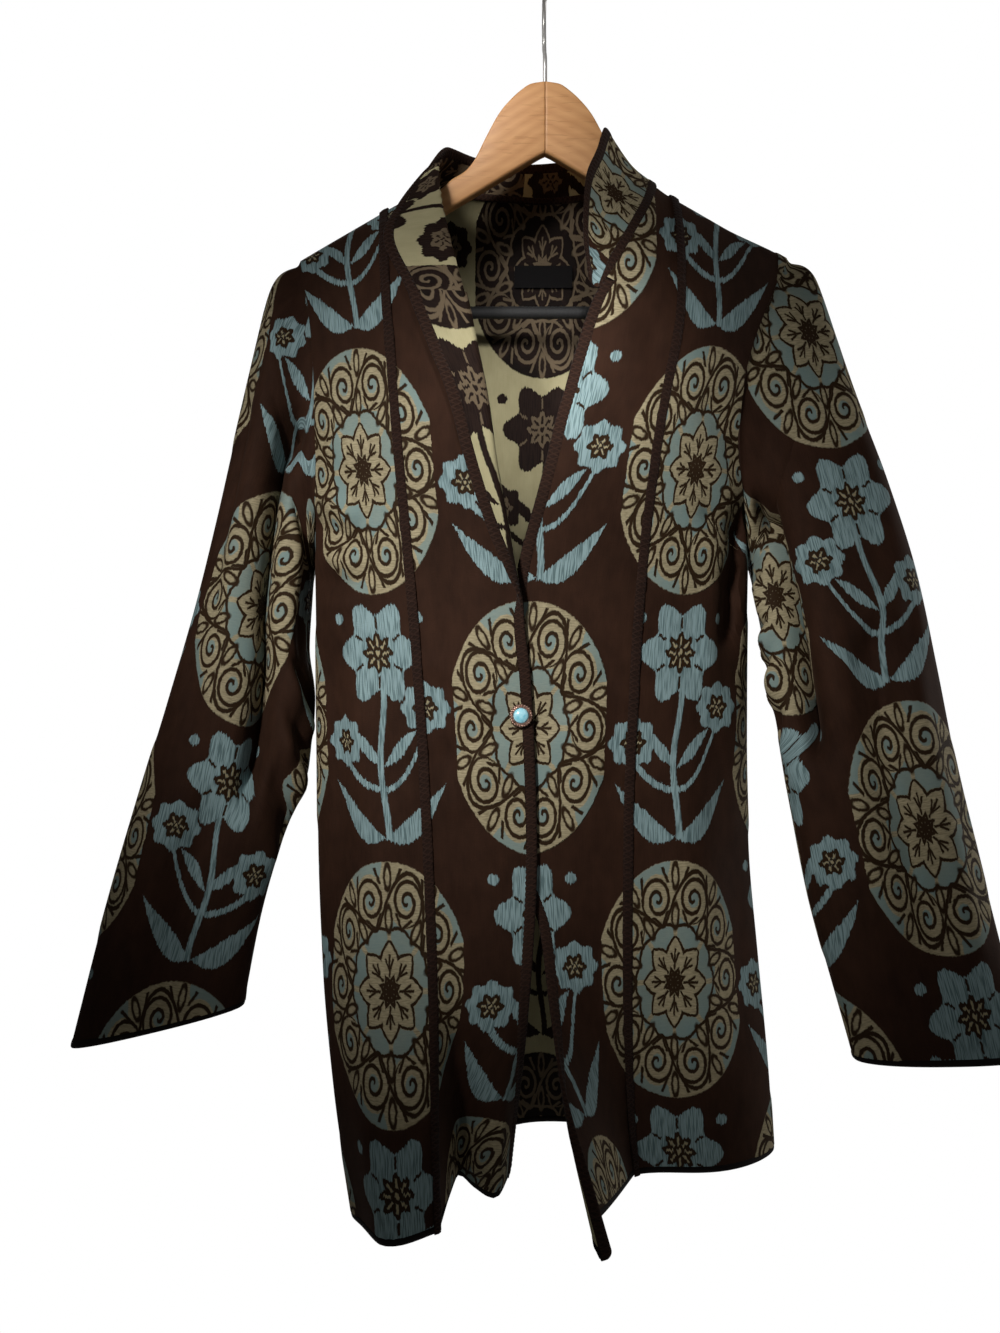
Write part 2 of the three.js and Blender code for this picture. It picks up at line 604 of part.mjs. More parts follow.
// ---------------------------------------------------------------- sleeves
function sleevePieces(side, name, table) {
  const front = side < 0 ? rightSide : leftSide;
  const edge = front.slice(0, UPPER_ROWS.length).map((row) => row[row.length - 1]);
  const backEdge = backGrid.slice(0, UPPER_ROWS.length).map((row) => row[side < 0 ? 0 : row.length - 1]);
  const loop = [...edge, ...backEdge.slice(1, -1).reverse()];
  const angles = UPPER_ROWS.map((w) => Math.acos(1 - (2 * w) / ARMHOLE_DEPTH));
  const turns = [...angles, ...angles.slice(1, -1).reverse().map((a) => 2 * Math.PI - a)];
  const keyed = table.map((row, i) => ({ ...row, at: i }));
  const ring = (at) => {
    const get = (column) => read(keyed, "at", at, column);
    const outer = point(get("outerX"), get("y"), get("outerZ"));
    const inner = point(get("innerX"), get("y"), get("innerZ"));
    const middle = outer.clone().lerp(inner, 0.5);
    const reach = outer.clone().sub(middle);
    return turns.map((a) => {
      const p = middle.clone().addScaledVector(reach, Math.sign(Math.cos(a)) * Math.abs(Math.cos(a)) ** 0.85);
      p.y -= get("depth") * Math.sign(Math.sin(a)) * Math.abs(Math.sin(a)) ** 0.8;
      return p;
    });
  };
  const first = ring(0);
  const start = loop.map((p, i) => {
    const toward = first[i].clone().sub(p).normalize();
    const under = smooth(0.3, 1, (1 - Math.cos(turns[i])) / 2);
    const q = p.clone().addScaledVector(toward, SEAM_GAP + 0.5 * (1 - under));
    q.x += side * (CLOTH + SEAM_GAP + 0.3) * under;
    return q;
  });
  const rings = [start];
  for (const f of [0.3, 0.65]) {
    rings.push(
      start.map((p, i) => {
        const q = p.clone().lerp(first[i], f);
        const head = Math.max(0, Math.cos(turns[i])) ** 1.5 * Math.sin(Math.PI * f ** 0.8);
        q.x += side * 7 * head;
        q.z += 5 * head;
        return q;
      }),
    );
  }
  const last = table.length - 1;
  for (let i = 0; i < SLEEVE_STEPS; i++) rings.push(ring((last * i) / SLEEVE_STEPS));
  const cuff = ring(last);
  const before = rings[rings.length - 1];
  const near = (d) => cuff.map((p, i) => p.clone().lerp(before[i], d / p.distanceTo(before[i])));
  rings.push(near(HEM_BINDING_WIDTH + SEAM_GAP));
  add(name, cloth(rings, CLOTH, { round: true }), COLOURS.cloth);
  const bindingRings = [near(HEM_BINDING_WIDTH), cuff];
  add(`${name}_cuff_binding`, cloth(bindingRings, BINDING, { round: true }), COLOURS.binding);
}
sleevePieces(-1, "sleeve_right", RIGHT_SLEEVE);
sleevePieces(1, "sleeve_left", LEFT_SLEEVE);

// ---------------------------------------------------------------- collar
const collarKeys = COLLAR.map((c, i) => {
  return {
    at: i,
    sx: c.seam[0],
    sz: c.seam[1],
    cx: c.crest[0],
    cy: c.crest[1],
    cz: c.crest[2],
    ex: c.edge[0],
    ey: c.edge[1],
    ez: c.edge[2],
  };
});
const collarRows = Array.from({ length: COLLAR_STEPS + 1 }, (_, i) => {
  const at = (i / COLLAR_STEPS) * (COLLAR.length - 1);
  const get = (column) => read(collarKeys, "at", at, column);
  const seam = point(get("sx"), 0, get("sz"));
  if (at < 3) seam.x = read(RIGHT_EDGE, "z", seam.z, "fold");
  else if (at > 9) seam.x = read(LEFT_EDGE, "z", seam.z, "fold");
  else seam.z = neckSeam(seam.x);
  seam.y = ringY(seam.x, seam.z, at <= 3 || at >= 9);
  seam.z += 2 * Math.exp(-(((at - 3.3) / 0.8) ** 2)) + 2 * Math.exp(-(((at - 8.7) / 0.8) ** 2));
  const crest = point(get("cx"), get("cy"), get("cz"));
  const edge = point(get("ex"), get("ey"), get("ez"));
  const behind = smooth(3, 4.5, at) * smooth(9, 7.5, at);
  const rise = crest.distanceTo(seam);
  seam.addScaledVector(crest.clone().sub(seam).normalize(), mix(2, 1.1, behind));
  const weight = 3;
  const points = [];
  for (let k = 0; k <= 32; k++) {
    const f = k / 32;
    const a = (1 - f) ** 2;
    const b = 2 * weight * f * (1 - f);
    const c = f * f;
    const sum = seam.clone().multiplyScalar(a).addScaledVector(crest, b).addScaledVector(edge, c);
    points.push(sum.divideScalar(a + b + c));
  }
  return { ...measured(points), rise };
});
const bandWidth = (row) => Math.min(EDGE_BINDING_WIDTH, 0.4 * row.total);
const neckBandWidth = (row) => Math.min(bandWidth(row), 0.35 * row.rise);
const neckGap = (row) => BEND_GAP + 1.8 * smooth(26, 14, row.rise);
const collarStart = (row) => neckBandWidth(row) + neckGap(row);
const edgeBandStart = (row) => row.total - bandWidth(row);
const collarEnd = (row) => edgeBandStart(row) - BEND_GAP - SEAM_GAP;
function collarPiece(from, to, count, thickness) {
  const shares = Array.from({ length: count + 1 }, (_, i) => i / count);
  return cloth(
    collarRows.map((row) => shares.map((f) => along(row, mix(from(row), to(row), f)))),
    thickness,
  );
}
const wholeWidth = (row) => row.total;
add("collar_neck_band", collarPiece(() => 0, neckBandWidth, 1, BINDING), COLOURS.binding);
add("collar", collarPiece(collarStart, collarEnd, 6, CLOTH), COLOURS.cloth);
add("collar_edge_band", collarPiece(edgeBandStart, wholeWidth, 2, BINDING), COLOURS.binding);

// ---------------------------------------------------------------- label and button
// A round solid that faces the viewer, from its profile of radius and height.
function disc(profile, count, centre) {
  const rings = profile.map(([radius, height]) =>
    Array.from({ length: count }, (_, i) => {
      const a = (2 * Math.PI * i) / count;
      return point(centre.x + radius * Math.cos(a), centre.y - height, centre.z + radius * Math.sin(a));
    }),
  );
  return loft(rings);
}
{
  const grid = [0, 0.5, 1].map((v) =>
    [0, 0.25, 0.5, 0.75, 1].map((u) => {
      const x = LABEL.x + (u - 0.5) * LABEL.width;
      const z = LABEL.z + (0.5 - v) * LABEL.height;
      return point(x, ringY(x, z, false) - HALF_CLOTH - LABEL.off - LABEL.thickness / 2, z);
    }),
  );
  add("neck_label", cloth(grid, LABEL.thickness), COLOURS.black);
}
{
  const cloth = ringY(BUTTON.x, BUTTON.z, true) - OVERLAP.lift - HALF_CLOTH;
  const seat = point(BUTTON.x, cloth - BUTTON.off, BUTTON.z);
  const r = BUTTON.rimRadius;
  const h = BUTTON.height;
  const cup = BUTTON.stoneRadius + 0.3;
  const rim = [
    [r - 1, 0],
    [r, 0.8],
    [r, h - 0.8],
    [r - 0.8, h],
    [cup, h],
    [cup - 0.1, h - 1],
  ];
  add("button_rim", disc(rim, 32, seat), COLOURS.copper, 0.35, 0.9);
  const top = seat.clone();
  top.y -= h - 1;
  const q = BUTTON.stoneRadius;
  const dome = [
    [q, 0.02],
    [q, 1.1],
    [q * 0.85, 2.3],
    [q * 0.5, 3.1],
    [q * 0.15, 3.4],
  ];
  add("button_stone", disc(dome, 24, top), COLOURS.stone, 0.4);
}

// ---------------------------------------------------------------- hanger
{
  const topZ = (x) => {
    const a = Math.abs(x);
    const dip = HANGER.shoulderDip * smooth(70, 104, a);
    const arm = HANGER.shoulderZ - (a - HANGER.shoulderStart) * HANGER.slope - dip;
    return a >= HANGER.shoulderStart ? arm : read(CROWN, "x", a, "z");
  };
  const underZ = (x) => {
    const a = Math.abs(x);
    const arm = HANGER.apexUnder - (Math.hypot(a, HANGER.apexRound) - HANGER.apexRound) * HANGER.underSlope;
    const lobe = HANGER.barZ - HANGER.lobe;
    return mix(arm, lobe, smooth(HANGER.lobeStart, HANGER.lobeFull, a));
  };
  const arm = [HANGER.armReach, 202, 186, 182, 178, 145, 108, 92, 82, 68, 60, 50, 39, 30, 21, 12, 5];
  const stations = [...arm.map((x) => -x), 0, ...arm.slice().reverse()];
  const rings = stations.map((x) => {
    const end = Math.abs(x) > 200 ? (Math.abs(x) > 204 ? 4 : 1) : 0;
    const top = topZ(x) - end;
    const low = underZ(x) + end;
    const half = HANGER.thickness / 2 - (Math.abs(x) > 204 ? 2 : 0);
    const r = HANGER.corner;
    const ring = [];
    const corner = (cy, cz, from) => {
      for (let i = 0; i <= 3; i++) {
        const a = from + (i / 3) * (Math.PI / 2);
        ring.push(point(x, cy + r * Math.cos(a), cz + r * Math.sin(a)));
      }
    };
    corner(half - r, top - r, 0);
    corner(-(half - r), top - r, Math.PI / 2);
    corner(-(half - r), low + r, Math.PI);
    corner(half - r, low + r, (3 * Math.PI) / 2);
    return ring;
  });
  add("hanger_wood", loft(rings), COLOURS.wood, 0.5);

  const barRings = [-HANGER.barEnd, HANGER.barEnd].map((x) =>
    Array.from({ length: 20 }, (_, i) => {
      const a = (2 * Math.PI * i) / 20;
      return point(x, HANGER.barRadius * Math.cos(a), HANGER.barZ + HANGER.barRadius * Math.sin(a));
    }),
  );
  add("hanger_bar", loft(barRings), COLOURS.black, 0.6);

  // the hook's wire: up from the wood, out and round over the held point
  const r = HANGER.hookRadius + HANGER.wire / 2;
  const path = [
    [0, CROWN[0].z + 0.05],
    [0, -66],
    [3, -60],
    [12, -53],
    [20, -43],
  ];
  for (let degrees = -35; degrees <= 190; degrees += 15) {
    const a = (degrees * Math.PI) / 180;
    path.push([r * Math.cos(a), -HANGER.hookRadius + r * Math.sin(a)]);
  }
  const wireRings = path.map(([y, z], i) => {
    const before = path[Math.max(i - 1, 0)];
    const after = path[Math.min(i + 1, path.length - 1)];
    let dy = after[0] - before[0];
    let dz = after[1] - before[1];
    if (i === 0) [dy, dz] = [0, 1];
    const size = Math.hypot(dy, dz);
    return Array.from({ length: 12 }, (_, k) => {
      const a = (2 * Math.PI * k) / 12;
      const side = (HANGER.wire / 2) * Math.cos(a);
      const lift = (HANGER.wire / 2) * Math.sin(a);
      return point(side, y - (dz / size) * lift, z + (dy / size) * lift);
    });
  });
  add("hanger_hook", loft(wireRings), COLOURS.wire, 0.3, 1);
}

// ---------------------------------------------------------------- the part
const part = new THREE.Group();
part.name = "longline_jacket_on_hanger";
for (const { name, geometry, colour, roughness, metalness } of nodes) {
  const material = new THREE.MeshStandardMaterial({ color: colour, roughness, metalness });
  const mesh = new THREE.Mesh(geometry, material);
  mesh.name = name;
  part.add(mesh);
}
export default part;
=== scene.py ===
"""A longline tapestry jacket on a wooden hanger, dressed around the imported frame.

Sizes are in millimetres, as the jacket was cut, and become metres when a mesh is made. Right and left are the
wearer's, so the right front is at -X.
"""

import math

import bpy
import numpy as np
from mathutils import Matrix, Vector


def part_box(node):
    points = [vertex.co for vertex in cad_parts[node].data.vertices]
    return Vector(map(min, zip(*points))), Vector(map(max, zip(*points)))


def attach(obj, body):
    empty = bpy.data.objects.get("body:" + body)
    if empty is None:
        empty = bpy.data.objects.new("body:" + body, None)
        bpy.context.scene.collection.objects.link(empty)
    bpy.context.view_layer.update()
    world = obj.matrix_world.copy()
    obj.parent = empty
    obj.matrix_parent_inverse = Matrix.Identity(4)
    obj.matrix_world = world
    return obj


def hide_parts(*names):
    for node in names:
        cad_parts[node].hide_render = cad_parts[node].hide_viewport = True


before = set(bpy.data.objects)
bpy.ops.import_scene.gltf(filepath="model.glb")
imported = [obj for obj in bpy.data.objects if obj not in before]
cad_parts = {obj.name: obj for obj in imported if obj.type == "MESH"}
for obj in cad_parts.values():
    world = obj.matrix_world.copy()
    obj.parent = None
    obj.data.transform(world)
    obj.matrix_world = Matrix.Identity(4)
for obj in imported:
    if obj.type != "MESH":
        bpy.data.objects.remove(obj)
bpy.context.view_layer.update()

MM = 0.001
RIGHT, LEFT = -1, 1

# ------------------------------------------------------------------ sizes of the cloth and its trims
CLOTH = 1.8
BAND_THICKNESS, BAND_WIDTH = 3.2, 9
BINDING_THICKNESS, HEM_BINDING = 3, 5
LAP = 1.2  # by which bands and bindings reach over the cloth's edge
STITCH, STITCH_HEIGHT = 4.4, 0.3  # of the slanting stitches along a band
TAPE_HALF_WIDTH, TAPE_THICKNESS = 4.2, 1.5
TAPE_LIFT, TAPE_LIFT_START, TAPE_EASE = 2.2, 0.5, 9  # the tape's upper end goes into the shoulder seam
TAPE_STITCH, TAPE_STITCH_DEPTH, TAPE_WANDER = 3.6, 0.45, 0.22
BRIDGE_TOP, BRIDGE_END, BRIDGE_SHARE = -780, -860, 0.8  # where the left tape spans the hollow under it
BAND_STEP, NECK_BAND_STEP, TAPE_STEP, BINDING_STEP = 1.1, 1.2, 1.3, 2.5  # between the rows of each trim
SPREAD = 10  # the places on a band run from 0 to this across its outer face

# The shoulder line over the hanger's arms, which drops a little on the left.
SHOULDER_Z, SHOULDER_START, SHOULDER_SLOPE, SHOULDER_BEND = -165.6, 82, 0.577, 20
LEFT_DROP, LEFT_DROP_BEGINS, LEFT_DROP_ENDS = 5, (70, 108), (150, 208)
SADDLE = 10  # radius in which the cloth rounds over an arm
FRONT_FALL, BACK_FALL = 55, 30  # how quickly the cloth swells out below the shoulder
ARMHOLE_DEPTH = 262
RIGHT_SCOOP, LEFT_SCOOP = 0.1, 0.17  # of the armholes, as a share of half the width
NECK_LEVEL, LOWEST, FOLDS_END = -200, -1035, -1030
ROUNDNESS, SHARPNESS = 2.6, 0.45  # powers of the section's curve across, and of its depth near the sides
SIDE_SEAM_TOP, SEAM_VALLEY, VALLEY_WIDTH, VALLEY_EASE = -486, 1.8, 2.5, 12
PUCKER, PUCKER_WIDTH = 0.45, 9
NOTCH_DEPTH = 103  # below this depth the front edges carry their bands

# The skirt's folds. A fold starts at its top and is deepest at the hem.
FOLD_RADIUS, LEAST_ANGLE = 4.5, 6  # of the turned front edges
OVERLAP, OVERLAP_ACROSS, OVERLAP_DOWN = 5.6, (-80, -48), (-430, -500)  # of the right front over the left
RIGHT_FOLD_DEPTH, RIGHT_FOLD_TOP, RIGHT_FOLD_WIDTH, SIDE_SEAM_EASE = 34, -760, 36, 34
LEFT_HOLLOW_DEPTH, LEFT_HOLLOW_TOP, LEFT_HOLLOW_WIDTH = 40, -720, 60
PLEAT_DEPTH, PLEAT_TOP, PLEAT_LIFT = 68, -830, 12
FLARE_DEPTH, FLARE_TOP, FLARE_CURVE = 118, -812, 1.1
TAIL_LIFT, TAIL_CURVE = 24, 1.3  # how the left front's hem rises towards its edge
TAIL_DROP, TAIL_TOP, TAIL_ROUND = 57, -945, (-0.3, 0.55)  # how its turned corner hangs as a round tongue
HEM_LOW, HEM_LOW_X, HEM_HIGH, HEM_HIGH_X = -1034, -157, -1008, 202

# The tapestry's repeat: medallions and sprigs take turns down each column, and every other column is set
# half a repeat lower.
COLUMN, REPEAT = 124, 415
MEDALLION_RADIUS, MEDALLION_TALL = 67, 1.5
PADDING, PADDING_OUT, PADDING_IN = 0.9, 2, 6  # of the figures, and how far out of and into them its edge lies
FRONT_CENTRE_Z = -640  # the medallion at the centre front lies behind the button
RIGHT_SEAM_U, LEFT_SEAM_U = -90, 84  # the long seams lie this far from the centre front
# where the sleeves and the collar are cut from the cloth
SLEEVE_U, SLEEVE_V = {RIGHT: 20, LEFT: 150}, {RIGHT: 580, LEFT: 560}
COLLAR_U, COLLAR_V = 97, -33

# Sleeves
AROUND, CAP_ROWS, ARM_ROWS = 184, 25, 118
SLEEVE_SQUARE, SLEEVE_DEEP = 0.85, 0.8  # powers that make their rings a little squarer than an ellipse
CAP_OUT, CAP_UP, CAP_SECTIONS = 7, 5, 0.9  # how the full cap stands out, and its share of the sections
ARMHOLE_GAP = 0.8
ARMHOLE_SINK, ARMHOLE_SINK_WIDTH = 4.5, 7  # by which the cap falls back beside the armhole, and how far off
CAP_OVERLAP = 70  # degrees in which the places from the front and from the back meet over the cap

# Collar. Its rows are looked up from 0 at the right end of the neck seam to 13 at the left one.
COLLAR_END, COLLAR_ROWS, COLLAR_BACK_ROWS = 13, 270, slice(100, 165)
COLLAR_ON_RIGHT, COLLAR_ON_LEFT = 3, 9  # it lies on the fronts' edges before and beyond these
COLLAR_TUCK, COLLAR_SINK = 0.75, 3  # by how much of its first steps its lower end goes on, and how far back

# Hanger. The underside of its arms rises to the middle, and a lobe at each end holds the bar.
WOOD_HALF, WOOD_CORNER, ARM_REACH, ARM_ROUND, ARM_SHRINK = 6.5, 3.5, 206, 6, 4
ARM_TOP, ARM_DIP, ARM_DIPS = -169, 7, (70, 104)
ARM_UNDER, ARM_UNDER_SLOPE, ARM_UNDER_BEND = -148, 0.6, 2
LOBE_DROP, LOBE_AT, ARM_GROOVE = 9, (178, 186), 0.4
BAR_Z, BAR_RADIUS, BAR_END, BAR_CAP, BAR_CAP_DEPTH = -284, 5.4, 177.5, 4, 0.4
RIDGE, RIDGE_STEP = 0.18, 3.2  # of the bar's grip
WIRE, HOOK_RADIUS = 3.8, 22
HOOK_STEM = [(0, -85), (0, -76), (0, -66), (3, -60), (12, -53), (20, -43)]  # back and up, to its bend


# ------------------------------------------------------------------ small tools
def mix(a, b, f):
    return a + (b - a) * f


def smooth(low, high, value):
    f = np.clip((value - low) / (high - low), 0, 1)
    return f * f * (3 - 2 * f)


def bell(off, width):
    return np.exp(-((off / width) ** 2))


def unit(v):
    return v / np.maximum(np.linalg.norm(v, axis=-1, keepdims=True), 1e-9)


class Table:
    """Sizes in rows, read along smooth curves that never overshoot. The first column is the one looked up."""

    def __init__(self, names, rows):
        self.columns = dict(zip(names.split(), np.array(sorted(rows), float).T))
        self.keys = next(iter(self.columns.values()))

    def __call__(self, name, value):
        keys, sizes = self.keys, self.columns[name]
        rise = np.diff(sizes) / np.diff(keys)
        before, after = rise[:-1], rise[1:]
        same_way = before * after > 0
        inner = np.where(same_way, 2 * before * after / np.where(same_way, before + after, 1), 0)
        slopes = np.concatenate([rise[:1], inner, rise[-1:]])
        v = np.clip(value, keys[0], keys[-1])
        i = np.clip(np.searchsorted(keys, v, side="right") - 1, 0, len(keys) - 2)
        span = keys[i + 1] - keys[i]
        f = (v - keys[i]) / span
        h = f * f * (3 - 2 * f)
        bend = f * (1 - f) * ((1 - f) * slopes[i] - f * slopes[i + 1]) * span
        return sizes[i] * (1 - h) + sizes[i + 1] * h + bend


SECTIONS = Table(
    "z low_x low_y high_x high_y front back",
    [
        (-180, -211, 0, 208, 0, 88, 62),
        (-240, -211, 0, 208, 0, 90, 64),
        (-350, -213, 0, 196, 0, 92, 66),
        (-503, -199, 1, 175, 2, 90, 68),
        (-640, -197, 0, 173, 2, 92, 70),
        (-740, -195, -8, 176, 4, 86, 76),
        (-840, -189, -25, 185, 6, 78, 88),
        (-940, -177, -45, 195, 9, 70, 104),
        (LOWEST, -160, -62, 202, 12, 62, 118),
    ],
)
LONG_SEAMS = Table(
    "z right left",
    [
        (-195, -138, 109),
        (-291, -131, 107),
        (-410, -121, 87),
        (-507, -112, 75),
        (-600, -104, 68),
        (-720, -97, 63),
        (-850, -92, 64),
        (-950, -90, 67),
        (LOWEST, -87, 75),
    ],
)
# fold: x where the cloth turns outwards; turn: the width turned over; angle: how far it has turned
RIGHT_EDGE = Table(
    "z fold turn angle",
    [
        (-190, -124, 0, 0),
        (-217, -112, 0, 0),
        (-252, -92, 0, 0),
        (-293.2, -70, 0, 0),
        (-294.2, -69.7, 42.5, 165),
        (-333, -62, 36, 170),
        (-384, -53, 28, 172),
        (-430, -46, 21, 172),
        (-475, -38, 15, 168),
        (-520, -30, 7, 140),
        (-560, -23, 0, 40),
        (-600, -16, 0, 0),
        (-740, -11, 0, 0),
        (-870, -18, 0, 0),
        (LOWEST, -33, 0, 0),
    ],
)
LEFT_EDGE = Table(
    "z fold turn angle",
    [
        (-177, 97, 0, 0),
        (-205, 88, 0, 0),
        (-240, 71, 0, 0),
        (-272, 53, 0, 0),
        (-297, 37, 0, 4),
        (-347, 21, 0, 14),
        (-395, 9, 2, 24),
        (-451, -7, 0, 12),
        (-515, -24, 0, 0),
        (-630, -38, 0, 0),
        (-740, -26, 0, 0),
        (-800, -6, 0, 10),
        (-860, 3, 0, 40),
        (-940, 14, 4, 90),
        (LOWEST, 42, 15, 125),
    ],
)
PLEAT_SHAPE = Table("at depth", [(0, 0), (0.12, 0.6), (0.24, 1), (0.5, 0.7), (0.8, 0.45), (1, 0.95)])
# place across and width, as shares of half the width, then the depth and the top
BACK_FOLDS = [(-0.62, 0.16, -13, -640), (-0.2, 0.2, 12, -560), (0.22, 0.17, -15, -600), (0.6, 0.15, 11, -680)]

# Sections of the sleeves, numbered from below the shoulder to the cuff.
RIGHT_SLEEVE = Table(
    "at outer_x outer_z inner_x inner_z y depth",
    [
        (0, -240, -285, -202.5, -510, 0, 45),
        (1, -262, -380, -204, -535, -2, 43),
        (2, -281, -465, -206, -575, -4, 41),
        (3, -299, -540, -200.5, -620, -8, 38),
        (4, -322, -622, -204, -675, -12, 36),
        (5, -346, -706, -226, -740, -19, 33),
        (6, -369, -792, -242, -800, -27, 30),
        (7, -396, -908, -254.6, -874, -38, 24),
    ],
)
LEFT_SLEEVE = Table(
    "at outer_x outer_z inner_x inner_z y depth",
    [
        (0, 234, -272, 178.5, -510, -6, 45),
        (1, 258, -355, 180, -533, -18, 43),
        (2, 284, -437, 183, -565, -32, 41),
        (3, 304, -515, 186, -604, -45, 38),
        (4, 316, -592, 192, -656, -58, 36),
        (5, 328, -670, 200, -710, -68, 34),
        (6, 344, -748, 210, -772, -77, 31),
        (7, 376, -898, 241, -900, -96, 24),
    ],
)

# The collar from the right front round the neck to the left front: its seam, its crest and its free edge.
COLLAR = Table(
    "at seam_x seam_z crest_x crest_y crest_z edge_x edge_y edge_z",
    [
        (0, -70, -292, -65, -90, -292, -113, -98, -293),
        (1, -92, -252, -73, -76, -236, -132, -88, -249),
        (2, -112, -217, -79, -48, -192, -123, -66, -217),
        (3, -126, -194, -84, -14, -156, -103, -32, -175),
        (4, -108, -182, -83, 14, -150, -83, 6, -138),
        (5, -62, -172, -56, 42, -150, -56, 40, -134),
        (6, -14, -169, -12, 54, -150, -12, 53, -133.5),
        (7, 36, -169, 32, 46, -150, 31, 44, -133),
        (8, 80, -168, 68, 14, -159, 58, 14, -135),
        (9, 97, -176, 73, -10, -163, 51, -16, -131),
        (10, 88, -205, 62, -38, -186, 42, -37, -158),
        (11, 71, -240, 44, -62, -214, 31, -58, -192),
        (12, 54, -272, 37, -77, -256, 28, -74, -239),
        (13, 39, -290, 35, -86, -288, 32, -86, -280),
    ],
)
# The sections of the collar from one shoulder round the back of the neck to the other.
COLLAR_BEHIND = slice(3, 10)
NECK_SEAM = Table("x z", list(zip(*(COLLAR.columns[name][COLLAR_BEHIND] for name in ("seam_x", "seam_z")))))
NECK_START, NECK_END = NECK_SEAM.keys[[0, -1]]

# Creases listed one by one: from and to, as across and up, then the width and height. Heights below 0 are
# hollows.
FRONT_CREASES = [
    (-198, -446, -148, -474, 8, 6),
    (-198, -468, -148, -492, 7, -6),
    (-198, -496, -144, -510, 7, 6.5),
    (-196, -518, -150, -526, 7, -5.5),
    (-194, -544, -150, -538, 9, 4),
    (-188, -366, -150, -438, 12, 4),
    (-150, -300, -166, -420, 14, -4),
    (-176, -560, -168, -690, 9, -4.5),
    (-158, -580, -152, -720, 10, 3.5),
    (118, -366, 168, -430, 12, -4.5),
    (112, -420, 172, -462, 8, 6),
    (118, -462, 170, -486, 7, -6),
    (116, -490, 172, -505, 7, 5.5),
    (118, -520, 170, -524, 8, -3.5),
    (160, -440, 146, -590, 8, -17),
    (136, -500, 130, -620, 9, 4.5),
    (150, -600, 156, -760, 11, 4),
    (-28, -628, -104, -580, 10, 3.2),
    (-30, -636, -98, -672, 12, -2.6),
    (-36, -650, -88, -716, 13, 2.4),
    (-10, -628, 60, -596, 12, -2.8),
    (-8, -640, 52, -684, 12, 2.4),
    (-128, -660, -150, -900, 20, 6),
    (-164, -640, -174, -860, 13, -6),
    (110, -640, 128, -960, 22, 7),
    (148, -620, 164, -900, 16, -6),
    (20, -560, 30, -760, 22, 4),
    (-60, -330, -86, -470, 16, 3.5),
    (-112, -300, -128, -400, 14, -3),
    (44, -330, 10, -470, 15, 3),
    (78, -300, 96, -400, 14, -3),
    (-72, -760, -66, -940, 15, -4.5),
    (62, -800, 76, -1000, 18, 4),
]
# The same on the sleeves, as degrees round from the outer side over the front, and sections down. A width
# over 1 is in degrees, of a crease down the sleeve. A smaller one is in sections, of a crease round it.
RIGHT_SLEEVE_CREASES = [
    (93, -0.75, 110, 4.9, 8, -29),
    (66, -0.6, 80, 4.6, 15, 7),
    (126, 0.0, 134, 4.4, 12, 8),
    (42, 0.4, 52, 3.2, 13, -5),
    (122, 2.5, 182, 3.1, 0.2, -4.5),
    (124, 2.9, 182, 3.55, 0.19, 4.5),
    (120, 3.3, 182, 4.0, 0.19, -5),
    (122, 3.75, 182, 4.4, 0.2, 4.5),
    (118, 4.1, 180, 4.85, 0.22, -4.5),
    (116, 4.6, 176, 5.3, 0.24, 4),
    (30, 3.3, 84, 4.2, 0.34, -3),
    (64, 4.7, 70, 6.9, 18, 6),
    (94, 4.4, 88, 6.9, 12, -10),
    (210, 0, 216, 4.6, 13, -9),
    (250, 0.5, 244, 6.5, 18, 6),
    (186, 3.0, 236, 3.8, 0.24, -3.5),
]
LEFT_SLEEVE_CREASES = [
    (132, -0.75, 131, 4.5, 8.5, -31),
    (106, -0.5, 100, 4.6, 15, 7),
    (160, 0.4, 158, 3.9, 10, 8),
    (58, -0.3, 64, 3.0, 15, -5),
    (146, 1.6, 188, 2.2, 0.19, -5),
    (144, 1.95, 188, 2.6, 0.19, 4.5),
    (146, 2.35, 188, 3.0, 0.19, -5),
    (144, 2.8, 186, 3.4, 0.2, 5),
    (144, 3.2, 186, 3.85, 0.2, -4.5),
    (146, 3.6, 182, 4.2, 0.22, 4),
    (34, 3.2, 88, 4.0, 0.34, -3),
    (62, 3.4, 58, 6.9, 16, 6),
    (86, 2.9, 80, 6.9, 12, -14),
    (112, 4.2, 112, 6.9, 14, 5),
    (212, 0, 206, 4.6, 13, -9),
    (252, 0.5, 246, 6.5, 18, 6),
    (186, 2.6, 238, 3.4, 0.24, -3.5),
]

# the upper line of the hanger's crown, from its middle outwards
CROWN = Table(
    "x z",
    [
        (0, -85),
        (12, -87),
        (22, -93.5),
        (32, -103),
        (40, -113),
        (51.5, -134),
        (61.5, -153.5),
        (69, -162.5),
        (82, -170.5),
    ],
)
BUTTON_RADIUS, STONE_RADIUS = 9.2, 6
BEADS, BEAD_RADIUS, BEADS_IN, BEADS_UP = 26, 1, 1.05, 2.2  # in from the rim's edge, and up from its foot
LABEL_X, LABEL_Z, LABEL_WIDTH, LABEL_HEIGHT, LABEL_THICKNESS = 1, -233, 53, 20, 0.8
LABEL_OFF, LABEL_SAG = 2.4, 0.5  # how far the label stands off the back, and how it sags at its lower edge


# ------------------------------------------------------------------ the jacket's surface
def shoulder_z(x):
    line = SHOULDER_Z - (np.hypot(x, SHOULDER_BEND) - SHOULDER_START) * SHOULDER_SLOPE
    return line - LEFT_DROP * smooth(*LEFT_DROP_BEGINS, x) * (1 - smooth(*LEFT_DROP_ENDS, x))


def middle(z):
    """The middle of the ring of height z, and half its width."""
    low, high = SECTIONS("low_x", z), SECTIONS("high_x", z)
    return (low + high) / 2, (high - low) / 2


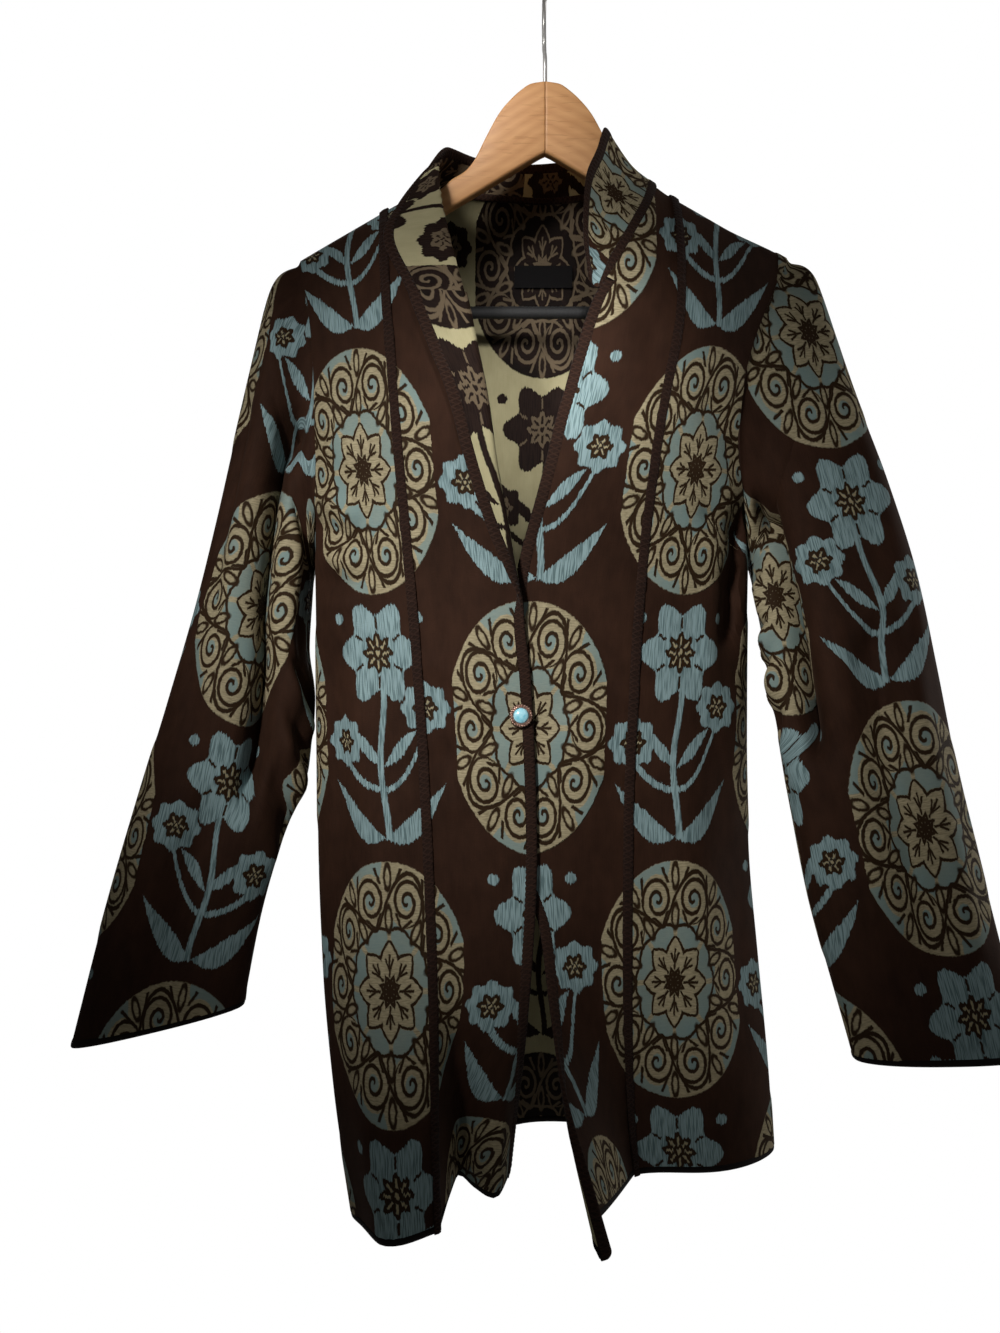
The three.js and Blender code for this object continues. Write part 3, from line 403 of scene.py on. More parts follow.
def ring_y(x, z, front):
    """How far out the cloth stands in the ring of height z."""
    mid, half = middle(z)
    t = np.clip((x - mid) / half, -1, 1)
    w = np.maximum(0, shoulder_z(x) - z)
    fall = 1 - np.exp(-w / (FRONT_FALL if front else BACK_FALL))
    swell = (1 - np.abs(t) ** ROUNDNESS) ** SHARPNESS * fall
    rounded = np.sqrt(1 - (1 - np.minimum(w / SADDLE, 1)) ** 2)
    saddle = SADDLE * rounded * np.maximum(0, 1 - w / ARMHOLE_DEPTH) ** 2
    base = mix(SECTIONS("low_y", z), SECTIONS("high_y", z), (t + 1) / 2)
    if front:
        return base - swell * SECTIONS("front", z) - saddle
    y = base + swell * SECTIONS("back", z) + saddle
    for at, width, depth, top in BACK_FOLDS:
        y = y + depth * smooth(top, FOLDS_END, z) * bell(t - at, width)
    return y


def outer_x(z, w, side):
    """The outer end of a ring: at the armhole, and under it at the side seam."""
    mid, half = middle(z)
    scoop = (RIGHT_SCOOP if side < 0 else LEFT_SCOOP) * np.sin(np.pi * np.clip(w / ARMHOLE_DEPTH, 0, 1))
    return mid + side * half * (1 - scoop)


def hem_z(x):
    return mix(HEM_LOW, HEM_HIGH, np.clip((x - HEM_LOW_X) / (HEM_HIGH_X - HEM_LOW_X), 0, 1))


def seam_x(z, side):
    return LONG_SEAMS("right" if side < 0 else "left", z)


def on_shoulder(line_x):
    """The heights at which lines down the cloth, whose x depends on the height, leave the shoulder line."""
    z = NECK_LEVEL
    for _ in range(8):
        z = shoulder_z(line_x(z))
    return z


# Depths of the rows above the underarm, shares of the way down below it, and then the rows of the hem's
# binding, as heights above the hem.
DEPTHS = np.concatenate([
    [0, 0.7, 1.6, 2.8, 4.4, 6.4, 9, 12, 16],
    np.linspace(20, 101, 20),
    [102, 104],
    np.linspace(108.5, ARMHOLE_DEPTH, 36),
])
SHARES = np.linspace(0, 1, 121)[1:]
HEM_STEPS = np.array([HEM_BINDING + LAP, HEM_BINDING / 2, 0])
PANEL_ROWS = len(DEPTHS) + len(SHARES)
ROW_DEPTH = np.concatenate([DEPTHS, np.full(len(SHARES) + len(HEM_STEPS), ARMHOLE_DEPTH)])[:, None]
NOTCH_ROW = int(np.argmax(DEPTHS > NOTCH_DEPTH))
OVER_SHOULDER = int(np.argmax(DEPTHS > 1.8 * SADDLE))


def heights(top, hem):
    upper = top - DEPTHS[:, None]
    lower = mix(top - ARMHOLE_DEPTH, hem + HEM_BINDING + 0.1, SHARES[:, None])
    return np.vstack([upper, lower, hem + HEM_STEPS[:, None]])


def crease_field(creases, across, down):
    """How far the listed creases stand out at each place."""
    total = np.zeros(np.broadcast(across, down).shape)
    for a0, d0, a1, d1, width, height in creases:
        da, dd = a1 - a0, d1 - d0
        length = math.hypot(da, dd)
        f = ((across - a0) * da + (down - d0) * dd) / length**2
        off = ((across - a0) * dd - (down - d0) * da) / length
        total += height * bell(off, width) * smooth(0, 0.25, f) * smooth(1, 0.75, f)
    return total


def pucker(off, z):
    """The small drawn-up waves along a stitched seam."""
    wave = np.sin(z * 0.29 + 1.3 * np.sin(z * 0.047)) + 0.5 * np.sin(z * 0.61 + 2)
    return PUCKER * wave * bell(off, PUCKER_WIDTH)


def front_y(x, z, side):
    """The front's surface with its skirt folds and creases."""
    away = x - seam_x(z, side)
    y = ring_y(x, z, True) - crease_field(FRONT_CREASES, x, z) + pucker(away, z)
    if side > 0:
        return y + LEFT_HOLLOW_DEPTH * smooth(LEFT_HOLLOW_TOP, FOLDS_END, z) * bell(away, LEFT_HOLLOW_WIDTH)
    fold = RIGHT_FOLD_DEPTH * smooth(RIGHT_FOLD_TOP, FOLDS_END, z)
    fold = fold * bell(away + RIGHT_FOLD_WIDTH, RIGHT_FOLD_WIDTH)
    mid, half = middle(z)
    return y - fold * smooth(0, SIDE_SEAM_EASE, x - mid + half)  # the fold ends before the side seam


def side_seam_valley(off, z):
    """How far the cloth is drawn in along the side seams, which begin below the armholes."""
    below = smooth(SIDE_SEAM_TOP + VALLEY_EASE, SIDE_SEAM_TOP - VALLEY_EASE, z)
    return SEAM_VALLEY * bell(off, VALLEY_WIDTH) * below


def front_side(side):
    """A front side panel: each row from the long seam to the armhole or side seam."""
    f = np.sin(np.linspace(0, np.pi / 2, 41))
    low_mid, low_half = middle(LOWEST)
    top = on_shoulder(lambda z: mix(seam_x(z, side), outer_x(z, 0, side), f))
    hem = hem_z(mix(seam_x(LOWEST, side), low_mid + side * low_half, f))
    z = heights(top, hem)
    outer = outer_x(z, ROW_DEPTH, side)
    x = mix(seam_x(z, side), outer, f)
    return np.stack([x - side * side_seam_valley(x - outer, z), front_y(x, z, side), z], -1)


def front_centre(side):
    """A front centre panel, each row from the long seam to the turned edge, and the lengths along the rows at
    which their flat parts and their rolls end."""
    edge = RIGHT_EDGE if side < 0 else LEFT_EDGE
    f = np.linspace(0, 1, 45)
    top = on_shoulder(lambda z: mix(seam_x(z, side), edge("fold", z), f))
    hem = hem_z(mix(seam_x(LOWEST, side), edge("fold", LOWEST), f))
    shape = PLEAT_SHAPE("depth", f)
    hem = hem + (PLEAT_LIFT * shape if side < 0 else TAIL_LIFT * f**TAIL_CURVE)
    z = heights(top, hem)
    x = mix(seam_x(z, side), edge("fold", z), f)
    y = front_y(x, z, side)
    if side < 0:
        y = y + PLEAT_DEPTH * shape * smooth(PLEAT_TOP, FOLDS_END, z)
        y = y - OVERLAP * smooth(*OVERLAP_ACROSS, x) * smooth(*OVERLAP_DOWN, z)
    else:
        y = y - FLARE_DEPTH * f**FLARE_CURVE * smooth(FLARE_TOP, FOLDS_END, z)
    flat = np.stack([x, y, z], -1)
    last = flat[:, -1]
    angle = np.radians(np.maximum(edge("angle", last[:, 2]), LEAST_ANGLE))[:, None]
    turn = np.maximum(edge("turn", last[:, 2]), 1)[:, None]
    heading = last - flat[:, -5]
    heading[:, 2] = 0
    heading = unit(heading)
    out = np.stack([heading[:, 1], -heading[:, 0], 0 * turn[:, 0]], -1) * -side
    roll = [
        last + heading * FOLD_RADIUS * np.sin(angle * b) + out * FOLD_RADIUS * (1 - np.cos(angle * b))
        for b in np.linspace(0, 1, 11)[1:]
    ]
    beyond = (heading * np.cos(angle) + out * np.sin(angle)) * turn
    turned = [roll[-1] + beyond * b for b in np.linspace(0, 1, 9)[1:]]
    rows = np.concatenate([flat, np.stack(roll, 1), np.stack(turned, 1)], 1)
    if side > 0:
        shares = np.linspace(0, 1, len(roll) + len(turned))
        fallen = smooth(*TAIL_ROUND, shares) - smooth(*TAIL_ROUND, 0)
        rows[:, len(f) :, 2] -= TAIL_DROP * fallen * smooth(TAIL_TOP, LOWEST, z[:, -1:])
    flat_length = arc(flat)[:, -1]
    return rows, flat_length, flat_length + FOLD_RADIUS * angle[:, 0]


def back_panel():
    """The back, each row from the right side seam or armhole to the left one."""
    t = np.sin(np.linspace(-np.pi / 2, np.pi / 2, 79))
    mid, half = middle(NECK_LEVEL)
    x_top = mid + t * half
    in_neck = (x_top > NECK_START) & (x_top < NECK_END)
    top = np.where(in_neck, NECK_SEAM("z", x_top), shoulder_z(x_top))
    low_mid, low_half = middle(LOWEST)
    z = heights(top, hem_z(low_mid + t * low_half))
    here, _ = middle(z)
    reach = np.where(t < 0, outer_x(z, ROW_DEPTH, -1), outer_x(z, ROW_DEPTH, 1)) - here
    x = here + reach * np.abs(t)
    valley = side_seam_valley(x - here - reach, z)
    return np.stack([x - np.sign(t) * valley, ring_y(x, z, False), z], -1)


def lengths_along(line):
    """How far along a line each of its points lies."""
    return np.concatenate([[0], np.cumsum(np.linalg.norm(np.diff(line, axis=0), axis=1))])


def arc(points):
    """The length along each row up to each of its points."""
    steps = np.linalg.norm(np.diff(points, axis=1), axis=2)
    return np.concatenate([np.zeros((len(points), 1)), np.cumsum(steps, 1)], 1)


def along(points, stops):
    """The points of each row at the given lengths along it."""
    lengths = arc(points)
    stops = np.broadcast_to(stops, (len(points), np.shape(stops)[-1]))
    rows = [[np.interp(s, l, p[:, k]) for k in range(3)] for s, l, p in zip(stops, lengths, points)]
    return np.array(rows).transpose(0, 2, 1)


def normals(grid, round_it=False):
    up, down = np.vstack([grid[:1], grid[:-1]]), np.vstack([grid[1:], grid[-1:]])
    if round_it:
        before, after = np.roll(grid, 1, 1), np.roll(grid, -1, 1)
    else:
        before = np.concatenate([grid[:, :1], grid[:, :-1]], 1)
        after = np.concatenate([grid[:, 1:], grid[:, -1:]], 1)
    return unit(np.cross(down - up, after - before))


# ------------------------------------------------------------------ making meshes
def make_piece(name, points, faces, finishes, finish_of=None, cloth_at=None, sharp=45):
    """A mesh in metres, with a material for each face and its place on the flat cloth, also in metres."""
    mesh = bpy.data.meshes.new(name)
    mesh.from_pydata((np.asarray(points) * MM).tolist(), [], [list(map(int, f)) for f in faces])
    for material in finishes:
        mesh.materials.append(material)
    if finish_of is not None:
        mesh.polygons.foreach_set("material_index", np.asarray(finish_of, np.int32))
    if cloth_at is not None:
        layer = mesh.uv_layers.new(name="cloth")
        layer.data.foreach_set("uv", (np.asarray(cloth_at, np.float32) * MM).ravel())
    mesh.shade_smooth()
    mesh.set_sharp_from_angle(angle=math.radians(sharp))
    mesh.update()
    piece = bpy.data.objects.new(name, mesh)
    bpy.context.scene.collection.objects.link(piece)
    return piece


def grid_faces(rows, columns, round_it=False):
    """Quads of a grid as numbers of its points, and as numbers of its places on the cloth. A grid that closes
    has one more column of places than of points."""
    spans = columns if round_it else columns - 1
    wide = columns + 1 if round_it else columns
    r, c = np.meshgrid(np.arange(rows - 1), np.arange(spans), indexing="ij")
    corners = [(r, c), (r + 1, c), (r + 1, c + 1), (r, c + 1)]
    points = np.stack([a * columns + b % columns for a, b in corners], -1).reshape(-1, 4)
    places = np.stack([a * wide + b for a, b in corners], -1).reshape(-1, 4)
    return points, places


def shell(name, grid, thickness, finishes, outward, place, round_it=False, swell=0.0):
    """Cloth laid on a grid: the finishes are for its outer face, its inner face and its cut edges."""
    normal = normals(grid, round_it)
    if np.sum(normal * outward) < 0:
        normal = -normal
    rows, columns = grid.shape[:2]
    outer = grid + normal * np.broadcast_to(thickness / 2 + swell, (rows, columns))[..., None]
    inner = grid - normal * thickness / 2
    points = np.concatenate([outer.reshape(-1, 3), inner.reshape(-1, 3)])
    quads, places = grid_faces(rows, columns, round_it)
    away = np.cross(outer[1, 0] - outer[0, 0], outer[0, 1] - outer[0, 0])
    turned = np.sum(away * normal[0, 0]) < 0
    if turned:
        quads, places = quads[:, ::-1], places[:, ::-1]
    size = rows * columns
    faces, spots = [quads, quads[:, ::-1] + size], [places, places[:, ::-1]]

    # the cut edges: along the first and last rows, and down both sides of an open grid
    wide = columns + 1 if round_it else columns
    r, c = np.arange(rows - 1), np.arange(wide - 1)
    edges = [((0, c), (0, c + 1), 1), ((rows - 1, c), (rows - 1, c + 1), -1)]
    if not round_it:
        edges += [((r, 0), (r + 1, 0), -1), ((r, columns - 1), (r + 1, columns - 1), 1)]
    for (ra, ca), (rb, cb), way in edges:
        a, b = ra * columns + ca % columns, rb * columns + cb % columns
        quad = np.stack([a, b, b + size, a + size], -1)
        spot = np.stack([ra * wide + ca, rb * wide + cb, rb * wide + cb, ra * wide + ca], -1)
        if (way > 0) == turned:
            quad, spot = quad[:, ::-1], spot[:, ::-1]
        faces.append(quad)
        spots.append(spot)
    faces = np.concatenate(faces)
    finish_of = np.full(len(faces), len(finishes) - 1)
    finish_of[: 2 * len(quads)] = np.repeat([0, min(1, len(finishes) - 1)], len(quads))
    cloth_at = place.reshape(-1, 2)[np.concatenate(spots)].reshape(-1, 2)
    return make_piece(name, points, faces, finishes, finish_of, cloth_at)


def tube(rings):
    """Points and faces of a solid through rings of points, with a fan at each end."""
    rings = np.asarray(rings)
    count, around = rings.shape[:2]
    points = np.concatenate([rings.reshape(-1, 3), [rings[0].mean(0), rings[-1].mean(0)]])
    quads, _ = grid_faces(count, around, True)
    faces = [tuple(q) for q in quads]
    last = (count - 1) * around
    for i in range(around):
        j = (i + 1) % around
        faces.append((count * around, i, j))
        faces.append((count * around + 1, last + j, last + i))
    volume = 0
    for f in faces[: len(quads)]:
        a, b, c, d = points[list(f)]
        volume += np.dot(a, np.cross(b, c)) + np.dot(a, np.cross(c, d))
    if volume < 0:
        faces = [f[::-1] for f in faces]
    return points, faces


def strip(name, grid, half_thickness, finishes, stitch=None, lift=0.0):
    """A rounded band on a grid whose rows follow each other along it. stitch gives the height of its
    stitching from the length along it and the share across it, and lift is how far it stands off the grid."""
    across = 0.5 - 0.5 * np.cos(np.linspace(0, np.pi, 8))
    width = arc(grid)[:, -1:]
    middle_line = along(grid, across[None, :] * width)
    normal = normals(grid)
    if np.sum(normal[..., 1]) > 0:  # its outer face looks forwards
        normal = -normal
    source = np.linspace(0, 1, grid.shape[1])
    face_normal = unit(np.stack([
        np.stack([np.interp(across, source, row[:, k]) for k in range(3)], -1) for row in normal
    ]))
    length = lengths_along(grid.mean(1))
    bulge = half_thickness * (1 - np.abs(2 * across - 1) ** 3) ** 0.5
    rise = 0 if stitch is None else stitch(length[:, None], across[None, :])
    outer = middle_line + face_normal * (lift + bulge[None, :] + rise)[..., None]
    inner = middle_line + face_normal * (lift - bulge[None, :])[..., None]
    rings = np.concatenate([outer, inner[:, -2:0:-1]], 1)
    points, faces = tube(rings)
    spread = np.concatenate([across, 2 - across[-2:0:-1]]) * SPREAD
    at_point = np.concatenate([
        np.stack(np.broadcast_arrays(length[:, None], spread[None, :]), -1).reshape(-1, 2),
        [[length[0], SPREAD / 2], [length[-1], SPREAD / 2]],
    ])
    corners = np.concatenate([np.asarray(f) for f in faces])
    return make_piece(name, points, faces, finishes, None, at_point[corners], sharp=70)


def finish_piece(piece, slot, *nodes):
    """The piece rides on the jacket's one body and stands for its solids."""
    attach(piece, "root")
    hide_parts(*nodes)
    return piece


def cloth_area(grid, round_it=False):
    ring = np.concatenate([grid, grid[:, :1]], 1) if round_it else grid
    a, b, c, d = ring[:-1, :-1], ring[1:, :-1], ring[1:, 1:], ring[:-1, 1:]
    halves = np.linalg.norm(np.cross(b - a, c - a), axis=2) + np.linalg.norm(np.cross(c - a, d - a), axis=2)
    return halves.sum() / 2


def declare_sheet(grid, round_it=False):
    """The flat cut of a cloth piece, measured along its rows and columns."""
    ring = np.concatenate([grid, grid[:, :1]], 1) if round_it else grid
    length = arc(ring.transpose(1, 0, 2))[:, -1].max()
    round(cloth_area(grid, round_it) * MM * MM, 4)


# ------------------------------------------------------------------ fields: numbers that vary over a surface
TURN = 2 * math.pi


class Field:
    """A number that varies over the surface. Arithmetic on it adds Math nodes to its tree."""

    def __init__(self, tree, socket):
        self.tree, self.socket = tree, socket

    def math(self, operation, *others, clamp=False):
        node = self.tree.nodes.new("ShaderNodeMath")
        node.operation = operation
        node.use_clamp = clamp
        for entry, value in zip(node.inputs, (self, *others)):
            if isinstance(value, Field):
                self.tree.links.new(value.socket, entry)
            else:
                entry.default_value = value
        return Field(self.tree, node.outputs[0])

    def __add__(self, other):
        return self.math("ADD", other)

    def __sub__(self, other):
        return self.math("SUBTRACT", other)

    def __mul__(self, other):
        return self.math("MULTIPLY", other)

    def __truediv__(self, other):
        return self.math("DIVIDE", other)

    def __abs__(self):
        return self.math("ABSOLUTE")

    __radd__, __rmul__ = __add__, __mul__

    def __rsub__(self, other):
        return self.math("MULTIPLY_ADD", -1.0, other)

    def rounded(self):
        return self.math("ROUND")

    def fraction(self):
        return self.math("FRACT")

    def sine(self):
        return self.math("SINE")

    def cosine(self):
        return self.math("COSINE")

    def least(self, other):
        return self.math("MINIMUM", other)

    def most(self, other):
        return self.math("MAXIMUM", other)

    def under(self, limit, soft=0.5):
        """1 where the value is under the limit, fading to 0 over a soft edge."""
        return self.math("MULTIPLY_ADD", -1 / soft, limit / soft + 0.5, clamp=True)

    def over(self, limit, soft=0.5):
        return self.math("MULTIPLY_ADD", 1 / soft, 0.5 - limit / soft, clamp=True)


def distance(a, b):
    return (a * a + b * b).math("SQRT")


def angle_of(a, b):
    return b.math("ARCTAN2", a)


def new_group(name, entries, results):
    """A node group, the node of its inputs, and a function that fills its outputs."""
    tree = bpy.data.node_groups.new(name, "ShaderNodeTree")
    for label, kind, value in entries:
        socket = tree.interface.new_socket(label, in_out="INPUT", socket_type=kind)
        if value is not None:
            socket.default_value = value
    for label in results:
        tree.interface.new_socket(label, in_out="OUTPUT", socket_type="NodeSocketFloat")
    enter, leave = tree.nodes.new("NodeGroupInput"), tree.nodes.new("NodeGroupOutput")

    def give(**values):
        for label, value in values.items():
            tree.links.new(value.socket, leave.inputs[label])

    return tree, enter, give


def use_group(tree, group, **values):
    """Places a group in a material. A value is a number, a colour or a socket."""
    node = tree.nodes.new("ShaderNodeGroup")
    node.node_tree = group
    for label, value in values.items():
        if isinstance(value, bpy.types.NodeSocket):
            tree.links.new(value, node.inputs[label])
        else:
            node.inputs[label].default_value = value
    return node


def split(tree, place):
    """The x, y and z of a place."""
    node = tree.nodes.new("ShaderNodeSeparateXYZ")
    tree.links.new(place, node.inputs[0])
    return [Field(tree, socket) for socket in node.outputs]


def noise(tree, place, scale, stretch=(1, 1, 1), detail=1.5):
    """Noise from 0 to 1 at a place, finer for a larger scale."""
    mapping = tree.nodes.new("ShaderNodeMapping")
    mapping.inputs["Scale"].default_value = [scale * s for s in stretch]
    tree.links.new(place, mapping.inputs["Vector"])
    node = tree.nodes.new("ShaderNodeTexNoise")
    node.inputs["Scale"].default_value = 1
    node.inputs["Detail"].default_value = detail
    tree.links.new(mapping.outputs[0], node.inputs["Vector"])
    return Field(tree, node.outputs["Fac"])


# ------------------------------------------------------------------ the tapestry's figures
LINE, VEIN = 1.15, 0.7  # half the widths of a dark outline and of a fine one
SCROLLS, SCROLL_RING, SCROLL_RADIUS, SCROLL_PITCH = 10, 48, 13.5, 6.4
SCROLL_HEART = 4.4
STEM_SWING, STEM_STEEPNESS = 15.5, 0.7
BUD_AT, BUD_HALF_WIDTH, BUD_HALF_HEIGHT = 11, 2.6, 6.5
LEAF_AT, LEAF_REACH, LEAF_APART, LEAF_LEAN, LEAF_START = 12, 4.5, 4.2, 0.55, 4
ROSETTE, PETALS, PETAL_START, PETAL_HALF_WIDTH, ROSETTE_EYE = 26, 8, 5, 7.6, 4.6
VEIN_AT, VEIN_REACH, SIDE_VEIN_AT, SIDE_VEIN_REACH, SIDE_VEIN_START, SIDE_VEIN_LEAN = 13, 6, 14, 3, 10, 0.45
SCALLOP_RING, SCALLOP = 30.5, 2.6

FLOWER_UP, FLOWER_TALL, FLOWER_RADIUS, LOBES, LOBE_DEPTH = 60, 1.2, 31, 6, 5.5
FLOWER_HEART, HEART_DEPTH, CUT_AT, CUT_REACH, CUT_WIDTH = 12, 2.2, 20, 4, 0.9
STALK_HALF_WIDTH, STALK_SWING, STALK_WAVE, STALK_MIDDLE, STALK_REACH = 2.6, 3, 0.055, -28, 62
LONG_LEAF_TIP, LONG_LEAF_FOOT, LONG_LEAF_RISE, LONG_LEAF_WIDTH = 52, -88, 44, 11
SMALL_LEAF_TIP, SMALL_LEAF_FOOT, SMALL_LEAF_WIDTH = 30, -32, 7
BLOSSOM_OUT, BLOSSOM_UP, BLOSSOM_STAGGER, BLOSSOM_RADIUS, BLOSSOM_DEPTH = 38, 2, 14, 19.5, 1.7
BLOSSOM_HEART, BLOSSOM_HEART_DEPTH = 9.5, 1.6
BRANCH_FOOT, BRANCH_RISE, BRANCH_HALF_WIDTH, BRANCH_SWELL = -50, 38, 2.2, 1.8
BERRY_OUT, BERRY_UP, BERRY_RADIUS = 37, 88, 4.6


def medallion(across, up):
    """An oval of running scrolls round a rosette: its shape, its coloured patches and its lines."""
    tall = up / MEDALLION_TALL
    radius = distance(across, tall)
    angle = angle_of(across, tall)
    # a stem that runs in and out round the ring, with a scroll in each of its bends
    turn = angle * (SCROLLS / TURN)
    cell = turn.rounded()
    local = (turn - cell) * (TURN / SCROLLS)
    side = 1 - abs(cell.math("MODULO", 2.0)) * 2
    scroll_x = radius * local.sine() * side
    scroll_y = radius * local.cosine() - SCROLL_RING
    from_scroll = distance(scroll_x, scroll_y)
    winding = (from_scroll / SCROLL_PITCH - angle_of(scroll_x, scroll_y) / TURN).fraction()
    scroll = abs(winding - 0.5).under(LINE / SCROLL_PITCH, 0.09) * from_scroll.under(SCROLL_RADIUS)
    bend = (turn * math.pi).cosine()
    steep = abs((turn * math.pi).sine()) * STEM_STEEPNESS + 1
    off_stem = abs(radius - SCROLL_RING - bend * STEM_SWING) / steep
    lines = scroll.most(off_stem.under(LINE))
    # a bud and two leaves between the bends
    between = (turn.fraction() - 0.5) * radius * (TURN / SCROLLS)
    height = abs(radius - SCROLL_RING)
    bud = abs(distance(between / BUD_HALF_WIDTH, (height - BUD_AT) / BUD_HALF_HEIGHT) - 1).under(0.3, 0.25)
    leaf = abs(abs(between) - LEAF_APART - (height - LEAF_START) * LEAF_LEAN).under(LINE, 0.6)
    lines = lines.most(bud).most(leaf * abs(height - LEAF_AT).under(LEAF_REACH))
    # a scalloped ring round the rosette
    scallop = abs(bend) * SCALLOP
    lines = lines.most(abs(radius - SCALLOP_RING - scallop).under(LINE - 0.2))
    # the rosette
    petal = ((angle * (PETALS / TURN) + 0.5).fraction() - 0.5) * (TURN / PETALS)
    petal_x = abs(radius * petal.sine())
    swelling = ((radius - PETAL_START) / (ROSETTE - PETAL_START)).most(0.0).least(1.0)
    off_petal = petal_x - (swelling * math.pi).sine() * PETAL_HALF_WIDTH
    in_rosette = radius.under(ROSETTE)
    lines = lines.most(abs(off_petal).under(LINE) * in_rosette)
    vein = petal_x.under(VEIN) * abs(radius - VEIN_AT).under(VEIN_REACH)
    side_vein = abs(petal_x - (radius - SIDE_VEIN_START) * SIDE_VEIN_LEAN).under(VEIN, 0.4)
    lines = lines.most(vein).most(side_vein * abs(radius - SIDE_VEIN_AT).under(SIDE_VEIN_REACH))
    lines = lines.most(abs(radius - ROSETTE_EYE).under(LINE))
    # patches of the second colour: outside the stem, between the petals and in the scrolls
    outer_gap = ((radius - SCROLL_RING) * bend).under(-6) * from_scroll.over(SCROLL_RADIUS + 0.8)
    inner_gap = off_petal.over(1.5) * (radius - scallop).under(ROSETTE + 3.5) * radius.over(9)
    patch = (outer_gap * radius.over(ROSETTE + 6)).most(inner_gap).most(from_scroll.under(SCROLL_HEART))
    return radius.under(MEDALLION_RADIUS, 0.7), patch, lines


def sprig(across, up):
    """A six-lobed flower over two side blossoms and long leaves: its shape, its pale strokes and its dark
    hearts."""
    apart = abs(across)
    way = across.math("SIGN")
    flower_y = (up - FLOWER_UP) / FLOWER_TALL
    radius = distance(across, flower_y)
    angle = angle_of(across, flower_y)
    shape = radius - (angle * LOBES).cosine() * LOBE_DEPTH - FLOWER_RADIUS
    stalk = abs(across - (up * STALK_WAVE).sine() * STALK_SWING) - STALK_HALF_WIDTH
    stalk = stalk.most(abs(up - STALK_MIDDLE) - STALK_REACH)
    share = apart / LONG_LEAF_TIP
    long_leaf = abs(up - share * share * LONG_LEAF_RISE - LONG_LEAF_FOOT)
    long_leaf = long_leaf - (share * math.pi).sine() * LONG_LEAF_WIDTH
    small_leaf = (apart * (math.pi / SMALL_LEAF_TIP)).sine() * SMALL_LEAF_WIDTH
    small_leaf = (abs(up - apart - SMALL_LEAF_FOOT) - small_leaf).most(apart - SMALL_LEAF_TIP)
    rise = way * BLOSSOM_STAGGER  # the blossom on the right is higher than the other
    blossom_y = up - rise - BLOSSOM_UP
    from_blossom = distance(apart - BLOSSOM_OUT, blossom_y)
    blossom_angle = angle_of(apart - BLOSSOM_OUT, blossom_y)
    blossom = from_blossom - (blossom_angle * 8).cosine() * BLOSSOM_DEPTH - BLOSSOM_RADIUS
    reach = (apart / BLOSSOM_OUT).least(1.0)
    branch = abs(up - BRANCH_FOOT - reach * reach * (rise + BRANCH_RISE))
    branch = (branch - reach * BRANCH_SWELL - BRANCH_HALF_WIDTH).most(apart - BLOSSOM_OUT)
    berry = distance(apart - BERRY_OUT, up - BERRY_UP) - BERRY_RADIUS
    for other in (stalk, long_leaf, small_leaf, blossom, branch, berry):
        shape = shape.least(other)
    hearts = (radius - (angle * 8).cosine() * HEART_DEPTH - FLOWER_HEART).under(0)
    small_heart = from_blossom - (blossom_angle * 6).cosine() * BLOSSOM_HEART_DEPTH - BLOSSOM_HEART
    hearts = hearts.most(small_heart.under(0))
    cuts = (abs((angle * 3).cosine()) * radius / 3).under(CUT_WIDTH)
    hearts = hearts.most(cuts * abs(radius - CUT_AT).under(CUT_REACH))
    strokes = (abs((angle * 4).sine()) * radius / 4).under(0.85) * abs(radius - 7.5).under(3)
    small = (abs((blossom_angle * 3).sine()) * from_blossom / 3).under(0.8) * abs(from_blossom - 5).under(2.2)
    strokes = strokes.most(small).most(radius.under(2)).most(from_blossom.under(1.4))
    return shape.under(0, 0.8), strokes, hearts


def figures_group():
    """The tapestry's figures at a place on the flat cloth, in metres."""
    results = ["Medallion", "Patch", "Sprig", "Stroke", "Line", "Relief"]
    tree, enter, give = new_group("tapestry_figures", [("Cloth", "NodeSocketVector", None)], results)
    place = enter.outputs["Cloth"]
    x, y, _ = split(tree, place)
    teeth = noise(tree, place, 800, (1, 0.03, 1), 0) - 0.5
    wobble = noise(tree, place, 330, (1, 1, 1), 0) - 0.5
    across, up = x / MM + wobble * 1.1, y / MM + wobble * 0.9
    column = (across / COLUMN).rounded()
    local = across - column * COLUMN
    raised = up + abs(column.math("MODULO", 2.0)) * (REPEAT / 2)
    rows = raised / REPEAT
    oval, patch, medallion_lines = medallion(local, raised - rows.rounded() * REPEAT + teeth * 1.2)
    flower_up = raised - (rows.math("FLOOR") + 0.5) * REPEAT
    flower, strokes, hearts = sprig(local, flower_up + teeth * 4.5)
    strokes = flower * strokes
    lines = (oval * medallion_lines).most(flower * hearts - strokes)
    relief = oval * 0.9 + flower * 0.5 - lines * 0.75
    give(Medallion=oval, Patch=oval * patch, Sprig=flower, Stroke=strokes, Line=lines, Relief=relief)
    return tree


def scaled(tree, enter, entry):
    """The place that enters a group, scaled by its fineness."""
    node = tree.nodes.new("ShaderNodeVectorMath")
    node.operation = "SCALE"
    tree.links.new(enter.outputs[entry], node.inputs[0])
    tree.links.new(enter.outputs["Fineness"], node.inputs["Scale"])
    return node.outputs[0]


